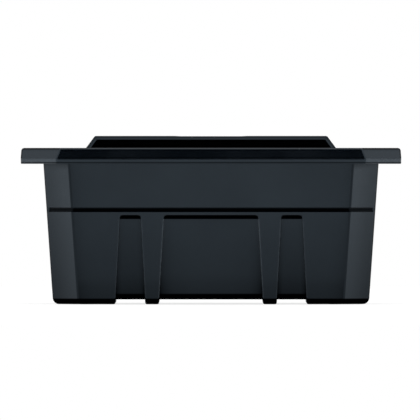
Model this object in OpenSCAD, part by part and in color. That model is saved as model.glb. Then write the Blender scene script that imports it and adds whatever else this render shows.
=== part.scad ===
// Hand-worked resin wash station: a moulded tub with a lift-out basket, a flip-up hood and a drain cock.
// Millimetres, +Z up, front towards -Y, origin on the floor under the middle of the rim.

/* [Tub] */
// Width across the rim, left to right
rim_w = 420; // [390:1:460]
// Depth across the rim, front to back
rim_d = 300; // [280:1:340]
// Height of the top of the rim above the floor
rim_top = 172.5; // [155:0.5:200]
// How far the rim stands out beyond the body, all round
rim_overhang = 25; // [22:0.5:30]
// Leg of the body's corner facets, seen from above
corner_leg = 27.5; // [22:0.5:40]
// Leg of the rim's corner facets at its lower edge
rim_leg = 39.5; // [36:0.5:46]
// Inward lean of the body walls, in degrees
wall_draft = 3.9; // [2:0.1:5]
// Thickness of the moulded walls and floor
wall = 3; // [2.2:0.1:3.8]
// Rounding along the bottom edge
bottom_round = 7; // [4.5:0.5:9]

/* [Feet] */
// Clear height under the floor between the feet
foot_h = 5; // [4.6:0.1:8]
// Depth of each foot behind the front or rear wall
foot_d = 28; // [20:1:40]
// Radius of the rubber pads
pad_r = 8; // [6:0.5:10]
// Depth of the pad sockets
pad_socket = 2; // [1.5:0.1:3]
// How far the pads stand out of the feet
pad_proud = 0.6; // [0.4:0.1:1.5]
// Play between a pad and its socket wall
pad_play = 0.1; // [0.05:0.05:0.3]
// Distance of the pads in from the ends of the tub
pad_inset = 38; // [32:1:50]

/* [Wall panels] */
// Depth of the recessed panels
panel_depth = 5; // [3:0.5:6]
// Height of the top edge of the panels above the floor
panel_top = 99; // [85:1:100]
// Height of the slope at the top of the panels
panel_slope = 4.7; // [3:0.1:6]
// Rounding of the panels' upper corners
panel_round = 4.5; // [2:0.5:6]
// Width of the wide panel at its top
wide_top = 104; // [90:1:110]
// Width of the wide panel at its bottom
wide_bottom = 116; // [100:1:120]
// Distance of each narrow panel from the middle
narrow_x = 89.5; // [86:0.5:95]
// Width of the narrow panels at the top
narrow_top = 23.5; // [18:0.5:28]
// Width of the narrow panels at the bottom
narrow_bottom = 35; // [28:1:38]
// Height of the groove's middle above the floor
groove_z = 104.6; // [103.8:0.1:120]
// Height of the groove
groove_h = 4.8; // [3:0.1:6]
// Depth of the groove
groove_depth = 1.5; // [0.8:0.1:1.8]
// Plain wall left between the groove and the ends of the tub
groove_stop = 2.4; // [2:0.1:4]

/* [Rim] */
// Height of the flange's edge, the lower band of the rim
lip_h = 5.5; // [4:0.5:7]
// Height of the frame, the upper band of the rim
frame_h = 11.5; // [10.5:0.5:16]
// Wall thickness of the frame
frame_wall = 3; // [2.2:0.1:3.6]
// Rounding of the frame's upper outer edge
frame_round = 3.5; // [2:0.5:5]
// How far the frame's faces lean in towards the top
frame_lean = 0.3; // [0:0.1:1]
// How much longer the corner facets are at the top of the frame
facet_gain = 3; // [0:0.1:4]
// Thickness of the gasket
gasket_t = 1; // [0.6:0.1:1.6]
// Extra width of the gasket beyond the frame's inner wall
gasket_extra = 2; // [1:0.5:3]
// Spacing of the rim screws along the front and back
rim_pitch_x = 80; // [70:1:84]
// Spacing of the rim screws along the ends
rim_pitch_y = 90; // [70:1:120]
// Radius of the screw bosses
boss_r = 4; // [3.2:0.1:4.6]
// Radius of the screws' shanks
screw_r = 1.5; // [1.2:0.1:1.8]
// Radius of the screws' heads
screw_head_r = 2.9; // [2.4:0.1:3.2]
// Height of the screws' heads
screw_head_h = 1.8; // [1.4:0.1:2]
// Length of the screws' shanks
screw_len = 10; // [8:0.5:11]
// Play between a screw and its hole
screw_play = 0.08; // [0.05:0.01:0.3]

/* [Hood] */
// Height of the hood above the rim
hood_h = 13.5; // [12:0.1:20]
// Width of the hood at rim level
hood_bottom = 274.5; // [250:0.5:320]
// Width of the hood at its top
hood_top = 257; // [230:0.5:290]
// Depth of the hood, front to back
hood_d = 27; // [25:0.5:29]
// Wall thickness of the hood
hood_wall = 4; // [3:0.1:5]
// Rounding of the hood's upper rear edge
hood_round = 9; // [7:0.5:12]
// Rounding of the hood's upper ends
hood_end_round = 3; // [2:0.5:6]
// Gap between the hood and the rim
hood_gap = 1; // [0.7:0.1:2]
// Ledge of the rim in front of the hood's back wall
hood_ledge = 4; // [3:0.5:6]
// Width of the finger dip in the hood's top edge
dip_w = 80; // [60:1:120]
// Depth of the finger dip
dip_depth = 0.5; // [0.3:0.1:1.5]
// Reach of the finger dip behind the top edge
dip_d = 7; // [5:0.5:10]

/* [Hood hinge] */
// Distance of each hinge from the middle
hinge_x = 80; // [74:1:86]
// Radius of the hinge pins
hinge_pin_r = 2.5; // [2:0.1:3]
// Running play between a pin and the hood's knuckle
hinge_play = 0.05; // [0.03:0.01:0.09]
// Radius of the hinge knuckles and lugs
knuckle_r = 4.5; // [4.2:0.1:5.5]
// Width of the hood's knuckles
knuckle_w = 11; // [8:0.5:14]
// Width of each bracket lug
lug_w = 4; // [3:0.5:5]
// Sideways gap between a knuckle and a lug
knuckle_gap = 0.4; // [0.3:0.1:0.8]
// Thickness of the bracket plates
plate_t = 2.5; // [2:0.1:4]
// Depth of the bracket plates
plate_d = 16.5; // [15.5:0.5:17]
// Gap between the hood's back and the bracket plates
plate_gap = 0.5; // [0.4:0.1:1]
// Thickness of the hood's hinge arms
arm_t = 5; // [4:0.5:7]
// Thickness of the stop at the back of each bracket
stop_t = 2.5; // [2:0.1:3]
// Height of the stop above the hinge axis
stop_rise = 5.4; // [4:0.1:6]
// Width of the bracket's screw ears
ear_w = 8; // [7:0.5:10]
// Distance of the hood buffers from the middle
buffer_x = 115; // [102:1:128]
// Radius of the buffers' heads
buffer_r = 1.8; // [1.5:0.1:2]
// Radius of the buffers' stems
buffer_stem_r = 1.1; // [0.8:0.1:1.3]
// Air left between a buffer and the hood
buffer_gap = 0.3; // [0.2:0.1:0.4]

/* [Basket] */
// Gap between the basket and the tub's ends at the floor
basket_gap_x = 18; // [14:0.5:30]
// Gap between the bails and the front of the hood
basket_gap_y = 9; // [6:0.5:15]
// Depth of the basket's rim below the tub's rim
basket_sink = 31; // [27:1:45]
// Side of the square corner posts
post_w = 8; // [6:0.5:10]
// Thickness of the slotted sheets
sheet_t = 1.5; // [1:0.1:2.5]
// Height of the basket's top frame
basket_rim_h = 10; // [8:0.5:14]
// Height of the foot caps
cap_h = 3; // [2:0.5:5]
// How far the foot caps stand out round the posts
cap_rim = 1; // [0.5:0.1:2]
// Height of the basket floor above the foot caps
basket_floor_rise = 2; // [1:0.5:6]
// Air between the foot caps and the tub floor
cap_gap = 0.3; // [0.2:0.1:0.6]
// Width of the slots
slot_w = 4; // [3:0.5:5]
// Spacing of the slots
slot_pitch = 10; // [8:0.5:14]
// Plain border left round the slots
slot_border = 11; // [8:1:16]

/* [Bails] */
// Radius of the bail wire
bail_r = 3; // [2.5:0.1:3.5]
// Length of the bails from pivot to crossbar
bail_reach = 85; // [60:1:95]
// Distance of the bail pivots from the basket's ends
bail_inset = 25; // [20:1:35]
// Radius of the pivot stubs
stub_r = 2.4; // [1.8:0.1:2.4]
// Running play between a stub and its ear
stub_play = 0.05; // [0.03:0.01:0.09]
// Radius of the pivot ears
bail_ear_r = 6; // [5:0.5:8]
// Gap between a bail arm and its ear
bail_side_gap = 0.5; // [0.3:0.1:1]
// Air between the crossbar and the basket's rim
bail_rest_gap = 0.4; // [0.3:0.1:1]
// Radius of the grips
grip_r = 8; // [6:0.5:10]
// Length of the grips
grip_len = 100; // [80:1:120]
// Play between a grip and its wire
grip_play = 0.05; // [0.03:0.01:0.1]
// Radius of the clips on the pivot stubs
clip_r = 5; // [4:0.5:6]
// Thickness of the clips
clip_t = 1.5; // [1:0.1:2]

/* [Drain] */
// Height of the drain's axis above the tub floor
drain_rise = 17.5; // [17:0.5:30]
// Radius of the wall boss round the drain
drain_boss_r = 17; // [16:0.5:17]
// How far the boss stands out of the back panel
drain_boss_out = 3.5; // [2.5:0.5:5]
// How far the boss stands into the tub
drain_boss_in = 3; // [2:0.5:5]
// Radius of the drain body's threaded tail
tail_r = 9; // [8.5:0.1:9.5]
// Play between the tail and what it passes through
tail_play = 0.1; // [0.05:0.05:0.3]
// Thickness of the washer
washer_t = 2; // [1:0.5:2.5]
// Radius of the washer and the body's flange
flange_r = 15; // [13:0.5:16]
// Thickness of the body's flange
flange_t = 3; // [2:0.5:4]
// Radius of the drain body's barrel
barrel_r = 9.5; // [8.5:0.5:11]
// Length of the drain body's barrel
barrel_len = 16; // [15.8:0.1:17]
// Outer radius of the hose spigot
spigot_r = 7; // [6:0.5:8]
// Length of the hose spigot
spigot_len = 12; // [8:0.5:12]
// Radius of the bore through the drain
drain_bore_r = 4; // [3:0.5:4.5]
// Thickness of the lock nut
nut_t = 6; // [4:0.5:7]
// Width across the corners of the lock nut
nut_corner = 31; // [28:1:32]
// Length of tail that carries the strainer
strainer_seat = 3; // [2:0.5:4]
// Wall thickness of the strainer
strainer_wall = 2; // [1.5:0.1:2.5]
// Depth of the strainer beyond the tail
strainer_depth = 4; // [3:0.5:5]
// Radius of the holes in the strainer
strainer_hole_r = 1.2; // [0.8:0.1:1.3]
// Number of holes in the strainer
strainer_holes = 6; // [4:1:8]
// Circle that the strainer's holes lie on
strainer_hole_ring = 5; // [4:0.5:6]
// Radius of the cock
cock_r = 5.5; // [5:0.1:6]
// Running play round the cock and its stem
cock_play = 0.05; // [0.03:0.01:0.09]
// Height of the bonnet above the drain's axis
bonnet_h = 15; // [13:0.5:20]
// Radius of the bonnet
bonnet_r = 7.8; // [7.4:0.1:8]
// Radius of the stem
stem_r = 3.5; // [3:0.1:4.5]
// Thickness of the gland
gland_t = 3; // [2:0.5:4]
// Thickness of the lever
lever_t = 4; // [3:0.5:6]
// Length of the lever from its axis
lever_len = 40; // [30:1:60]
// Width of the lever's hub
lever_hub_w = 11; // [9:0.5:14]
// Width of the lever's arm
lever_w = 9; // [7:0.5:9]
// Air between the gland and the lever
lever_gap = 0.3; // [0.2:0.1:0.6]
// Width and height of the cock's seal
seal_w = 1.6; // [1:0.1:2]

/* [Hidden] */
$fn = 64;
eps = 1;
// Share by which an octagon's corner leg grows with an offset of one
leg_per_offset = 2 - sqrt(2);
// Steps in a quarter arc and the angle of each
arc_steps = 4;
arc_turn = 90 / arc_steps;
tub_z = pad_proud;
floor_under = tub_z + foot_h;
floor_top = floor_under + wall;
seam_z = rim_top - frame_h;
lip_z = seam_z - lip_h;
mouth_hw = rim_w / 2 - rim_overhang - wall;
mouth_hd = rim_d / 2 - rim_overhang - wall;
mouth_leg = corner_leg - leg_per_offset * wall;
// Middle of the flange, where the rim screws stand
flange_mid = (rim_overhang - wall) / 2;
flange_top = seam_z - wall;
frame_ceiling = rim_top - frame_wall;
foot_y = half_d(floor_under) - foot_d;
pad_x = half_w(tub_z) - pad_inset;
pad_y = half_d(tub_z) - bottom_round - pad_r - pad_play;
// Top of the panel outlines, a little short of where their slope meets the wall
window_top = panel_top - panel_slope / 8;
groove_x = half_w(groove_z) - groove_stop;
groove_low = groove_z - groove_h / 2;
groove_high = groove_z + groove_h / 2;
gasket_w = frame_wall + gasket_extra;
gasket_top = seam_z + gasket_t;
hood_back = mouth_hd + hood_ledge + hood_wall;
hood_front = hood_back - hood_d;
hood_z = rim_top + hood_gap;
hood_top_z = rim_top + hood_h;
// Where the hinge arms start, inside the hood's back wall
arm_root = hood_back - hood_wall * 3 / 4;
plate_y = hood_back + plate_gap;
plate_top = rim_top + plate_t;
hinge_y = plate_y + knuckle_r + knuckle_gap;
hinge_z = plate_top + knuckle_r + knuckle_gap;
lug_x = knuckle_w / 2 + knuckle_gap;
bracket_half = lug_x + lug_w + ear_w;
bracket_screw_x = lug_x + lug_w + ear_w / 2;
bracket_screw_y = plate_y + plate_d / 2;
buffer_y = hood_back - hood_wall / 2;
basket_hw = half_w(floor_top) - wall - basket_gap_x;
basket_hd = hood_front - basket_gap_y - bail_side_gap - 2 * bail_r;
cap_z = floor_top + cap_gap;
post_z = cap_z + cap_h;
basket_floor_z = post_z + basket_floor_rise;
// Height of the cutters that pass through the basket floor
sheet_cut = 4 * sheet_t;
basket_top = rim_top - basket_sink;
ring_z = basket_top - basket_rim_h;
post_x = basket_hw - post_w / 2;
post_y = basket_hd - post_w / 2;
sheet_in_x = post_x - sheet_t / 2;
sheet_in_y = post_y - sheet_t / 2;
pivot_x = basket_hw - bail_inset;
pivot_z = basket_top + bail_rest_gap + bail_r;
arm_y = basket_hd + bail_side_gap + bail_r;
clip_y = basket_hd - post_w - bail_side_gap - clip_t;
drain_z = floor_top + drain_rise;
panel_y = half_d(drain_z) - panel_depth;
boss_face = panel_y + drain_boss_out;
boss_back = panel_y - wall - drain_boss_in;
washer_face = boss_face + washer_t;
barrel_y = washer_face + flange_t;
spigot_y = barrel_y + barrel_len;
cock_y = barrel_y + barrel_len / 2;
nut_face = boss_back - nut_t;
tail_end = nut_face - strainer_seat;
bonnet_z = drain_z + bonnet_h;
gland_z = bonnet_z + gland_t;
lever_z = gland_z + lever_gap;
cock_z = drain_z - (barrel_r + drain_bore_r) / 2;
seal_z = bonnet_z - 2 * seal_w;

// Half width and half depth of the drafted body at height z
function half_w(z) = rim_w / 2 - rim_overhang - (lip_z - z) * tan(wall_draft);
function half_d(z) = rim_d / 2 - rim_overhang - (lip_z - z) * tan(wall_draft);

// Octagon with half sizes hw and hd and corner legs c, at height z
function octagon(hw, hd, c, z) = [
  [hw, c - hd, z], [hw, hd - c, z], [hw - c, hd, z], [c - hw, hd, z],
  [-hw, hd - c, z], [-hw, c - hd, z], [c - hw, -hd, z], [hw - c, -hd, z]];

// Section of the body at height z, taken in by t
function body_ring(z, t) = octagon(half_w(z) - t, half_d(z) - t, corner_leg - leg_per_offset * t, z);

// Section of the rim at height z, taken in by t, with gain added to its corner legs
function rim_ring(z, t, gain = 0) =
  octagon(rim_w / 2 - t, rim_d / 2 - t, rim_leg + gain - leg_per_offset * t, z);

// Section of the mouth at height z, let out by t
function mouth_ring(z, t) = octagon(mouth_hw + t, mouth_hd + t, mouth_leg + leg_per_offset * t, z);

// Body sections from height a, rounded there with radius r, up to height b
function body_rings(a, b, t, r) = concat(
  [for (k = [0:arc_steps])
    body_ring(a + r * (1 - cos(arc_turn * k)), t + r * (1 - sin(arc_turn * k)))],
  [body_ring(b, t)]);

function unit(v) = v / norm(v);

// Outline p, counterclockwise, with corner i rounded to radius r[i]
function rounded(p, r, steps = 6) = [
  for (i = [0:len(p) - 1])
    let (b = p[i],
         u = unit(p[(i + len(p) - 1) % len(p)] - b),
         v = unit(p[(i + 1) % len(p)] - b),
         half = acos(u * v) / 2,
         centre = b + unit(u + v) * r[i] / sin(half),
         from = b + u * r[i] / tan(half) - centre,
         start = atan2(from[1], from[0]))
      each (r[i] == 0 ? [b] : [
        for (k = [0:steps])
          let (a = start + (180 - 2 * half) * k / steps)
            centre + r[i] * [cos(a), sin(a)]])];

// Solid through a stack of sections with equal numbers of points
module loft(rings) {
  n = len(rings[0]);
  top = (len(rings) - 1) * n;
  polyhedron(
    points = [for (ring = rings) each ring],
    faces = concat(
      [[for (i = [0:n - 1]) i]],
      [[for (i = [n - 1:-1:0]) top + i]],
      [for (k = [0:len(rings) - 2], i = [0:n - 1])
        [k * n + i, (k + 1) * n + i, (k + 1) * n + (i + 1) % n, k * n + (i + 1) % n]]));
}

// Outline drawn in X and Z, carried along Y
module along_y(length) {
  rotate([90, 0, 0])
    linear_extrude(length, center = true)
      children();
}

// Outline drawn in Y and Z, carried along X
module along_x(length) {
  rotate([90, 0, 90])
    linear_extrude(length, center = true)
      children();
}

// Cylinder along Y from y0 to y1
module rod_y(r, y0, y1, sides = 64) {
  translate([0, y0, 0])
    rotate([-90, 0, 0])
      cylinder(h = y1 - y0, r = r, $fn = sides);
}

// Block given by its lowest and highest corners
module block(low, high) {
  translate(low)
    cube(high - low);
}

// Both copies of what is drawn on the right-hand side
module both_sides() {
  for (side = [0, 1])
    mirror([side, 0, 0])
      children();
}

// Three panel outlines carried through the tub, let out by t
module panel_windows(t) {
  for (p = [[0, wide_top, wide_bottom], [-narrow_x, narrow_top, narrow_bottom],
            [narrow_x, narrow_top, narrow_bottom]]) {
    half_top = p[1] / 2 + t;
    half_bottom = p[2] / 2 + t;
    translate([p[0], 0, 0])
      along_y(rim_d)
        polygon(rounded(
          [[-half_bottom, tub_z - eps], [half_bottom, tub_z - eps],
           [half_top, window_top + t], [-half_top, window_top + t]],
          [0, 0, panel_round, panel_round]));
  }
}

// Body core behind the panels, taken in by t
module panel_core(t) {
  r = bottom_round - t;
  low = floor_under + (t > 0 ? t - eps : 0);
  slope_z = panel_top - panel_slope + t;
  high = slope_z + panel_slope;
  half = concat(
    [for (k = [0:arc_steps])
      [half_d(low + r) - panel_depth - t - r * (1 - sin(arc_turn * k)),
       low + r * (1 - cos(arc_turn * k))]],
    [[half_d(slope_z) - panel_depth - t, slope_z], [half_d(high) - t, high]]);
  along_x(rim_w)
    polygon(concat(half, [for (i = [len(half) - 1:-1:0]) [-half[i][0], half[i][1]]]));
}

// Body with its panels, taken in by t, from height low up to height high
module body_form(t, low, high) {
  difference() {
    loft(body_rings(low, high, t, bottom_round - t));
    difference() {
      panel_windows(t);
      panel_core(t);
    }
  }
}

// Places of the rim screws
module at_rim_screws() {
  for (x = [-1.5, -0.5, 0.5, 1.5] * rim_pitch_x, side = [-1, 1])
    translate([x, side * (rim_d / 2 - flange_mid - wall), 0])
      children();
  for (side = [-1, 1], y = [-0.5, 0.5] * rim_pitch_y)
    translate([side * (rim_w / 2 - flange_mid - wall), y, 0])
      children();
}

// Places of the bracket screws
module at_bracket_screws() {
  both_sides()
    for (dx = [-bracket_screw_x, bracket_screw_x])
      translate([hinge_x + dx, bracket_screw_y, 0])
        children();
}

// Places of the hood buffers
module at_buffers() {
  both_sides()
    translate([buffer_x, buffer_y, 0])
      children();
}

// Places of the foot pads
module at_pads() {
  for (x = [-1, 1], y = [-1, 1])
    translate([x * pad_x, y * pad_y, 0])
      children();
}

// Screw standing on the underside of its head, shank upwards
module screw() {
  cylinder(h = screw_len, r = screw_r);
  translate([0, 0, -screw_head_h])
    cylinder(h = screw_head_h, r = screw_head_r);
}

module tub() {
  color("#22272b")
    difference() {
      union() {
        difference() {
          union() {
            difference() {
              loft([rim_ring(lip_z, 0), rim_ring(seam_z, 0)]);
              loft([rim_ring(lip_z - eps, wall), rim_ring(flange_top, wall)]);
            }
            body_form(0, tub_z, flange_top + wall / 2);
          }
          body_form(wall, floor_top, seam_z + eps);
        }
        translate([0, 0, drain_z])
          rod_y(drain_boss_r, boss_back, boss_face);
      }
      // groove across the front and back, round the corner facets
      difference() {
        block([-groove_x, -rim_d / 2, groove_low], [groove_x, rim_d / 2, groove_high]);
        loft([body_ring(groove_low - eps, groove_depth), body_ring(groove_high + eps, groove_depth)]);
      }
      // room under the floor between the front and rear feet
      block([-rim_w / 2, -foot_y, tub_z - eps], [rim_w / 2, foot_y, floor_under]);
      translate([0, 0, drain_z])
        rod_y(tail_r + tail_play, boss_back - eps, boss_face + eps);
      at_rim_screws()
        translate([0, 0, flange_top - eps])
          cylinder(h = wall + 2 * eps, r = screw_r + screw_play);
      at_pads()
        translate([0, 0, tub_z - eps])
          cylinder(h = pad_socket + eps, r = pad_r + pad_play);
    }
}

module foot_pads() {
  color("#17191a")
    at_pads()
      cylinder(h = pad_proud + pad_socket, r = pad_r);
}

module rim_gasket() {
  color("#3a3d40")
    difference() {
      loft([mouth_ring(seam_z, gasket_w), mouth_ring(gasket_top, gasket_w)]);
      loft([mouth_ring(seam_z - eps, 0), mouth_ring(gasket_top + eps, 0)]);
    }
}

module rim_frame() {
  arc = [for (k = [0:arc_steps])
    rim_ring(rim_top - frame_round * (1 - sin(arc_turn * k)),
             frame_lean + frame_round * (1 - cos(arc_turn * k)), facet_gain)];
  color("#22272b")
    difference() {
      union() {
        difference() {
          loft(concat([rim_ring(seam_z, 0)], arc));
          loft([mouth_ring(seam_z - eps, 0), mouth_ring(rim_top + eps, 0)]);
          // hollow under the top, open below
          difference() {
            loft([rim_ring(seam_z - eps, frame_wall),
                  rim_ring(frame_ceiling, frame_wall + frame_lean, facet_gain)]);
            loft([mouth_ring(seam_z - 2 * eps, frame_wall), mouth_ring(rim_top, frame_wall)]);
          }
          // room for the gasket
          loft([mouth_ring(seam_z - eps, gasket_w), mouth_ring(gasket_top, gasket_w)]);
        }
        at_rim_screws()
          translate([0, 0, seam_z])
            cylinder(h = frame_h - frame_wall / 2, r = boss_r);
        at_bracket_screws()
          translate([0, 0, gasket_top])
            cylinder(h = frame_h - gasket_t - frame_wall / 2, r = boss_r);
      }
      at_rim_screws()
        translate([0, 0, seam_z - eps])
          cylinder(h = screw_len - wall + 2 * eps, r = screw_r + screw_play);
      at_bracket_screws()
        translate([0, 0, plate_top - screw_len - eps])
          cylinder(h = screw_len + eps, r = screw_r + screw_play);
      at_buffers()
        translate([0, 0, frame_ceiling - eps])
          cylinder(h = frame_wall + 2 * eps, r = buffer_stem_r + screw_play);
    }
}

module rim_screws() {
  color("#9a9da0")
    at_rim_screws()
      translate([0, 0, flange_top])
        screw();
}

module hinge_brackets() {
  color("#2b2f33")
    both_sides()
      translate([hinge_x, 0, 0])
        difference() {
          union() {
            block([-bracket_half, plate_y, rim_top], [bracket_half, plate_y + plate_d, plate_top]);
            for (side = [-1, 1])
              translate([side * (lug_x + lug_w / 2), 0, 0]) {
                along_x(lug_w)
                  translate([hinge_y, hinge_z])
                    circle(r = knuckle_r);
                block([-lug_w / 2, hinge_y - knuckle_r, plate_top - plate_t / 2],
                      [lug_w / 2, hinge_y + knuckle_r, hinge_z]);
              }
            block([-lug_x - lug_w, plate_y + plate_d - stop_t, plate_top - plate_t / 2],
                  [lug_x + lug_w, plate_y + plate_d, hinge_z + stop_rise]);
          }
          along_x(2 * bracket_half)
            translate([hinge_y, hinge_z])
              circle(r = hinge_pin_r);
          for (dx = [-bracket_screw_x, bracket_screw_x])
            translate([dx, bracket_screw_y, rim_top - eps])
              cylinder(h = plate_t + 2 * eps, r = screw_r + screw_play);
        }
}

module bracket_screws() {
  color("#9a9da0")
    at_bracket_screws()
      translate([0, 0, plate_top])
        mirror([0, 0, 1])
          screw();
}

module hinge_pins() {
  color("#b4b7ba")
    both_sides()
      translate([hinge_x, 0, 0])
        along_x(2 * (lug_x + lug_w))
          translate([hinge_y, hinge_z])
            circle(r = hinge_pin_r);
}

module hood_buffers() {
  color("#17191a")
    at_buffers() {
      translate([0, 0, frame_ceiling])
        cylinder(h = frame_wall, r = buffer_stem_r);
      translate([0, 0, rim_top])
        cylinder(h = hood_gap - buffer_gap, r = buffer_r);
    }
}

// Solid form of the hood, taken in by t, with its front and underside let out by open
module hood_form(t, open) {
  slant = (hood_bottom - hood_top) / 2 / (hood_top_z - hood_z);
  low = hood_z - open;
  high = hood_top_z - t;
  end_t = t * sqrt(1 + slant * slant);
  half_low = hood_bottom / 2 - end_t + slant * open;
  half_high = hood_top / 2 - end_t + slant * t;
  intersection() {
    along_y(rim_d)
      polygon(rounded([[-half_low, low], [half_low, low], [half_high, high], [-half_high, high]],
                      [0, 0, hood_end_round - t / 2, hood_end_round - t / 2]));
    along_x(rim_w)
      polygon(rounded([[hood_front - open, low], [hood_back - t, low],
                       [hood_back - t, high], [hood_front - open, high]],
                      [0, 0, hood_round - t, 0], 10));
  }
}

module splash_hood() {
  color("#22272b")
    difference() {
      union() {
        difference() {
          hood_form(0, 0);
          hood_form(hood_wall, eps);
        }
        both_sides()
          translate([hinge_x, 0, 0]) {
            block([-knuckle_w / 2, arm_root, hinge_z - arm_t / 2],
                  [knuckle_w / 2, hinge_y, hinge_z + arm_t / 2]);
            along_x(knuckle_w)
              translate([hinge_y, hinge_z])
                circle(r = knuckle_r);
          }
      }
      both_sides()
        translate([hinge_x, 0, 0])
          along_x(knuckle_w + 2 * eps)
            translate([hinge_y, hinge_z])
              circle(r = hinge_pin_r + hinge_play);
      block([-dip_w / 2, hood_front - eps, hood_top_z - dip_depth],
            [dip_w / 2, hood_front + dip_d, hood_top_z + eps]);
    }
}

// Offsets of evenly spaced slots within a run of the given length
function slot_places(run) =
  let (n = floor((run - 2 * slot_border - slot_w) / slot_pitch))
    [for (i = [0:n]) (i - n / 2) * slot_pitch];

// Upright slotted sheet across X, centred on its thickness
module slotted_sheet(length, low, high) {
  difference() {
    block([-length / 2, -sheet_t / 2, low], [length / 2, sheet_t / 2, high]);
    for (x = slot_places(length))
      block([x - slot_w / 2, -sheet_t, low + slot_border],
            [x + slot_w / 2, sheet_t, high - slot_border]);
  }
}

module basket_floor() {
  color("#b9bcc0")
    difference() {
      block([-sheet_in_x, -sheet_in_y, basket_floor_z],
            [sheet_in_x, sheet_in_y, basket_floor_z + sheet_t]);
      for (x = [-1, 1], y = [-1, 1])
        translate([x * post_x, y * post_y, basket_floor_z])
          cube([post_w, post_w, sheet_cut], center = true);
      for (x = slot_places(2 * sheet_in_x), side = [-1, 1])
        translate([x, side * sheet_in_y / 2, basket_floor_z])
          cube([slot_w, sheet_in_y - slot_border, sheet_cut], center = true);
    }
}

// Front or rear sheet of the basket
module long_sheet(side) {
  color("#b9bcc0")
    translate([0, side * post_y, 0])
      slotted_sheet(2 * post_x - post_w, basket_floor_z, ring_z);
}

// Left or right sheet of the basket
module end_sheet(side) {
  color("#b9bcc0")
    translate([side * post_x, 0, 0])
      rotate([0, 0, 90])
        slotted_sheet(2 * post_y - post_w, basket_floor_z, ring_z);
}

module basket_posts() {
  color("#a9acb0")
    for (x = [-1, 1], y = [-1, 1])
      translate([x * post_x, y * post_y, (post_z + ring_z) / 2])
        cube([post_w, post_w, ring_z - post_z], center = true);
}

module basket_rim() {
  color("#a9acb0")
    difference() {
      union() {
        difference() {
          block([-basket_hw, -basket_hd, ring_z], [basket_hw, basket_hd, basket_top]);
          block([post_w - basket_hw, post_w - basket_hd, ring_z - eps],
                [basket_hw - post_w, basket_hd - post_w, basket_top + eps]);
        }
        for (x = [-1, 1], y = [-1, 1])
          translate([x * pivot_x, y * (basket_hd - post_w / 2), pivot_z]) {
            rod_y(bail_ear_r, -post_w / 2, post_w / 2);
            block([-bail_ear_r, -post_w / 2, basket_top - basket_rim_h / 2 - pivot_z],
                  [bail_ear_r, post_w / 2, 0]);
          }
      }
      for (x = [-1, 1], y = [-1, 1])
        translate([x * pivot_x, y * (basket_hd - post_w / 2), pivot_z])
          rod_y(stub_r + stub_play, -post_w, post_w);
    }
}

module basket_feet() {
  color("#1c1e20")
    for (x = [-1, 1], y = [-1, 1])
      translate([x * post_x, y * post_y, cap_z + cap_h / 2])
        cube([post_w + 2 * cap_rim, post_w + 2 * cap_rim, cap_h], center = true);
}

// Bail wire: crossbar, two arms and the pivot stubs; side is -1 left, 1 right
module bail(side) {
  color("#b4b7ba")
    translate([side * pivot_x, 0, pivot_z])
      mirror([side < 0 ? 1 : 0, 0, 0])
        for (y = [-1, 1])
          mirror([0, y < 0 ? 1 : 0, 0]) {
            translate([-bail_reach, 0, 0])
              rod_y(bail_r, 0, arm_y);
            translate([-bail_reach, arm_y, 0])
              sphere(r = bail_r);
            translate([-bail_reach / 2, 0, 0])
              along_x(bail_reach)
                translate([arm_y, 0])
                  circle(r = bail_r);
            translate([0, arm_y, 0])
              sphere(r = bail_r);
            rod_y(stub_r, clip_y, arm_y);
          }
}

module bail_grip(side) {
  color("#1c1e20")
    translate([side * (pivot_x - bail_reach), 0, pivot_z])
      difference() {
        rod_y(grip_r, -grip_len / 2, grip_len / 2);
        rod_y(bail_r + grip_play, -grip_len / 2 - eps, grip_len / 2 + eps);
      }
}

module bail_clips(side) {
  color("#a9acb0")
    for (y = [0, 1])
      mirror([0, y, 0])
        translate([side * pivot_x, 0, pivot_z])
          difference() {
            rod_y(clip_r, clip_y, clip_y + clip_t);
            rod_y(stub_r, clip_y - eps, clip_y + clip_t + eps);
          }
}

module drain_body() {
  color("#2b2f33")
    difference() {
      union() {
        translate([0, 0, drain_z]) {
          rod_y(tail_r, tail_end, washer_face + flange_t / 2);
          rod_y(flange_r, washer_face, barrel_y);
          rod_y(barrel_r, barrel_y - flange_t / 2, spigot_y);
          rod_y(spigot_r, spigot_y - flange_t / 2, spigot_y + spigot_len);
        }
        translate([0, cock_y, drain_z])
          cylinder(h = bonnet_h, r = bonnet_r);
      }
      translate([0, 0, drain_z])
        rod_y(drain_bore_r, tail_end - eps, spigot_y + spigot_len + eps);
      translate([0, cock_y, cock_z])
        cylinder(h = bonnet_z - cock_z + eps, r = cock_r + cock_play);
    }
}

module drain_washer() {
  color("#3a3d40")
    translate([0, 0, drain_z])
      difference() {
        rod_y(flange_r, boss_face, washer_face);
        rod_y(tail_r + tail_play, boss_face - eps, washer_face + eps);
      }
}

module drain_nut() {
  color("#2b2f33")
    translate([0, 0, drain_z])
      difference() {
        rod_y(nut_corner / 2, nut_face, boss_back, 6);
        rod_y(tail_r + tail_play, nut_face - eps, boss_back + eps);
      }
}

module drain_strainer() {
  color("#a9acb0")
    translate([0, 0, drain_z])
      difference() {
        rod_y(tail_r + tail_play + strainer_wall, tail_end - strainer_depth, nut_face);
        rod_y(tail_r + tail_play, tail_end - strainer_depth + strainer_wall, nut_face + eps);
        for (k = [1:strainer_holes], turn = 360 * k / strainer_holes)
          translate([strainer_hole_ring * cos(turn), 0, strainer_hole_ring * sin(turn)])
            rod_y(strainer_hole_r, tail_end - strainer_depth - eps, tail_end, 24);
      }
}

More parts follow.
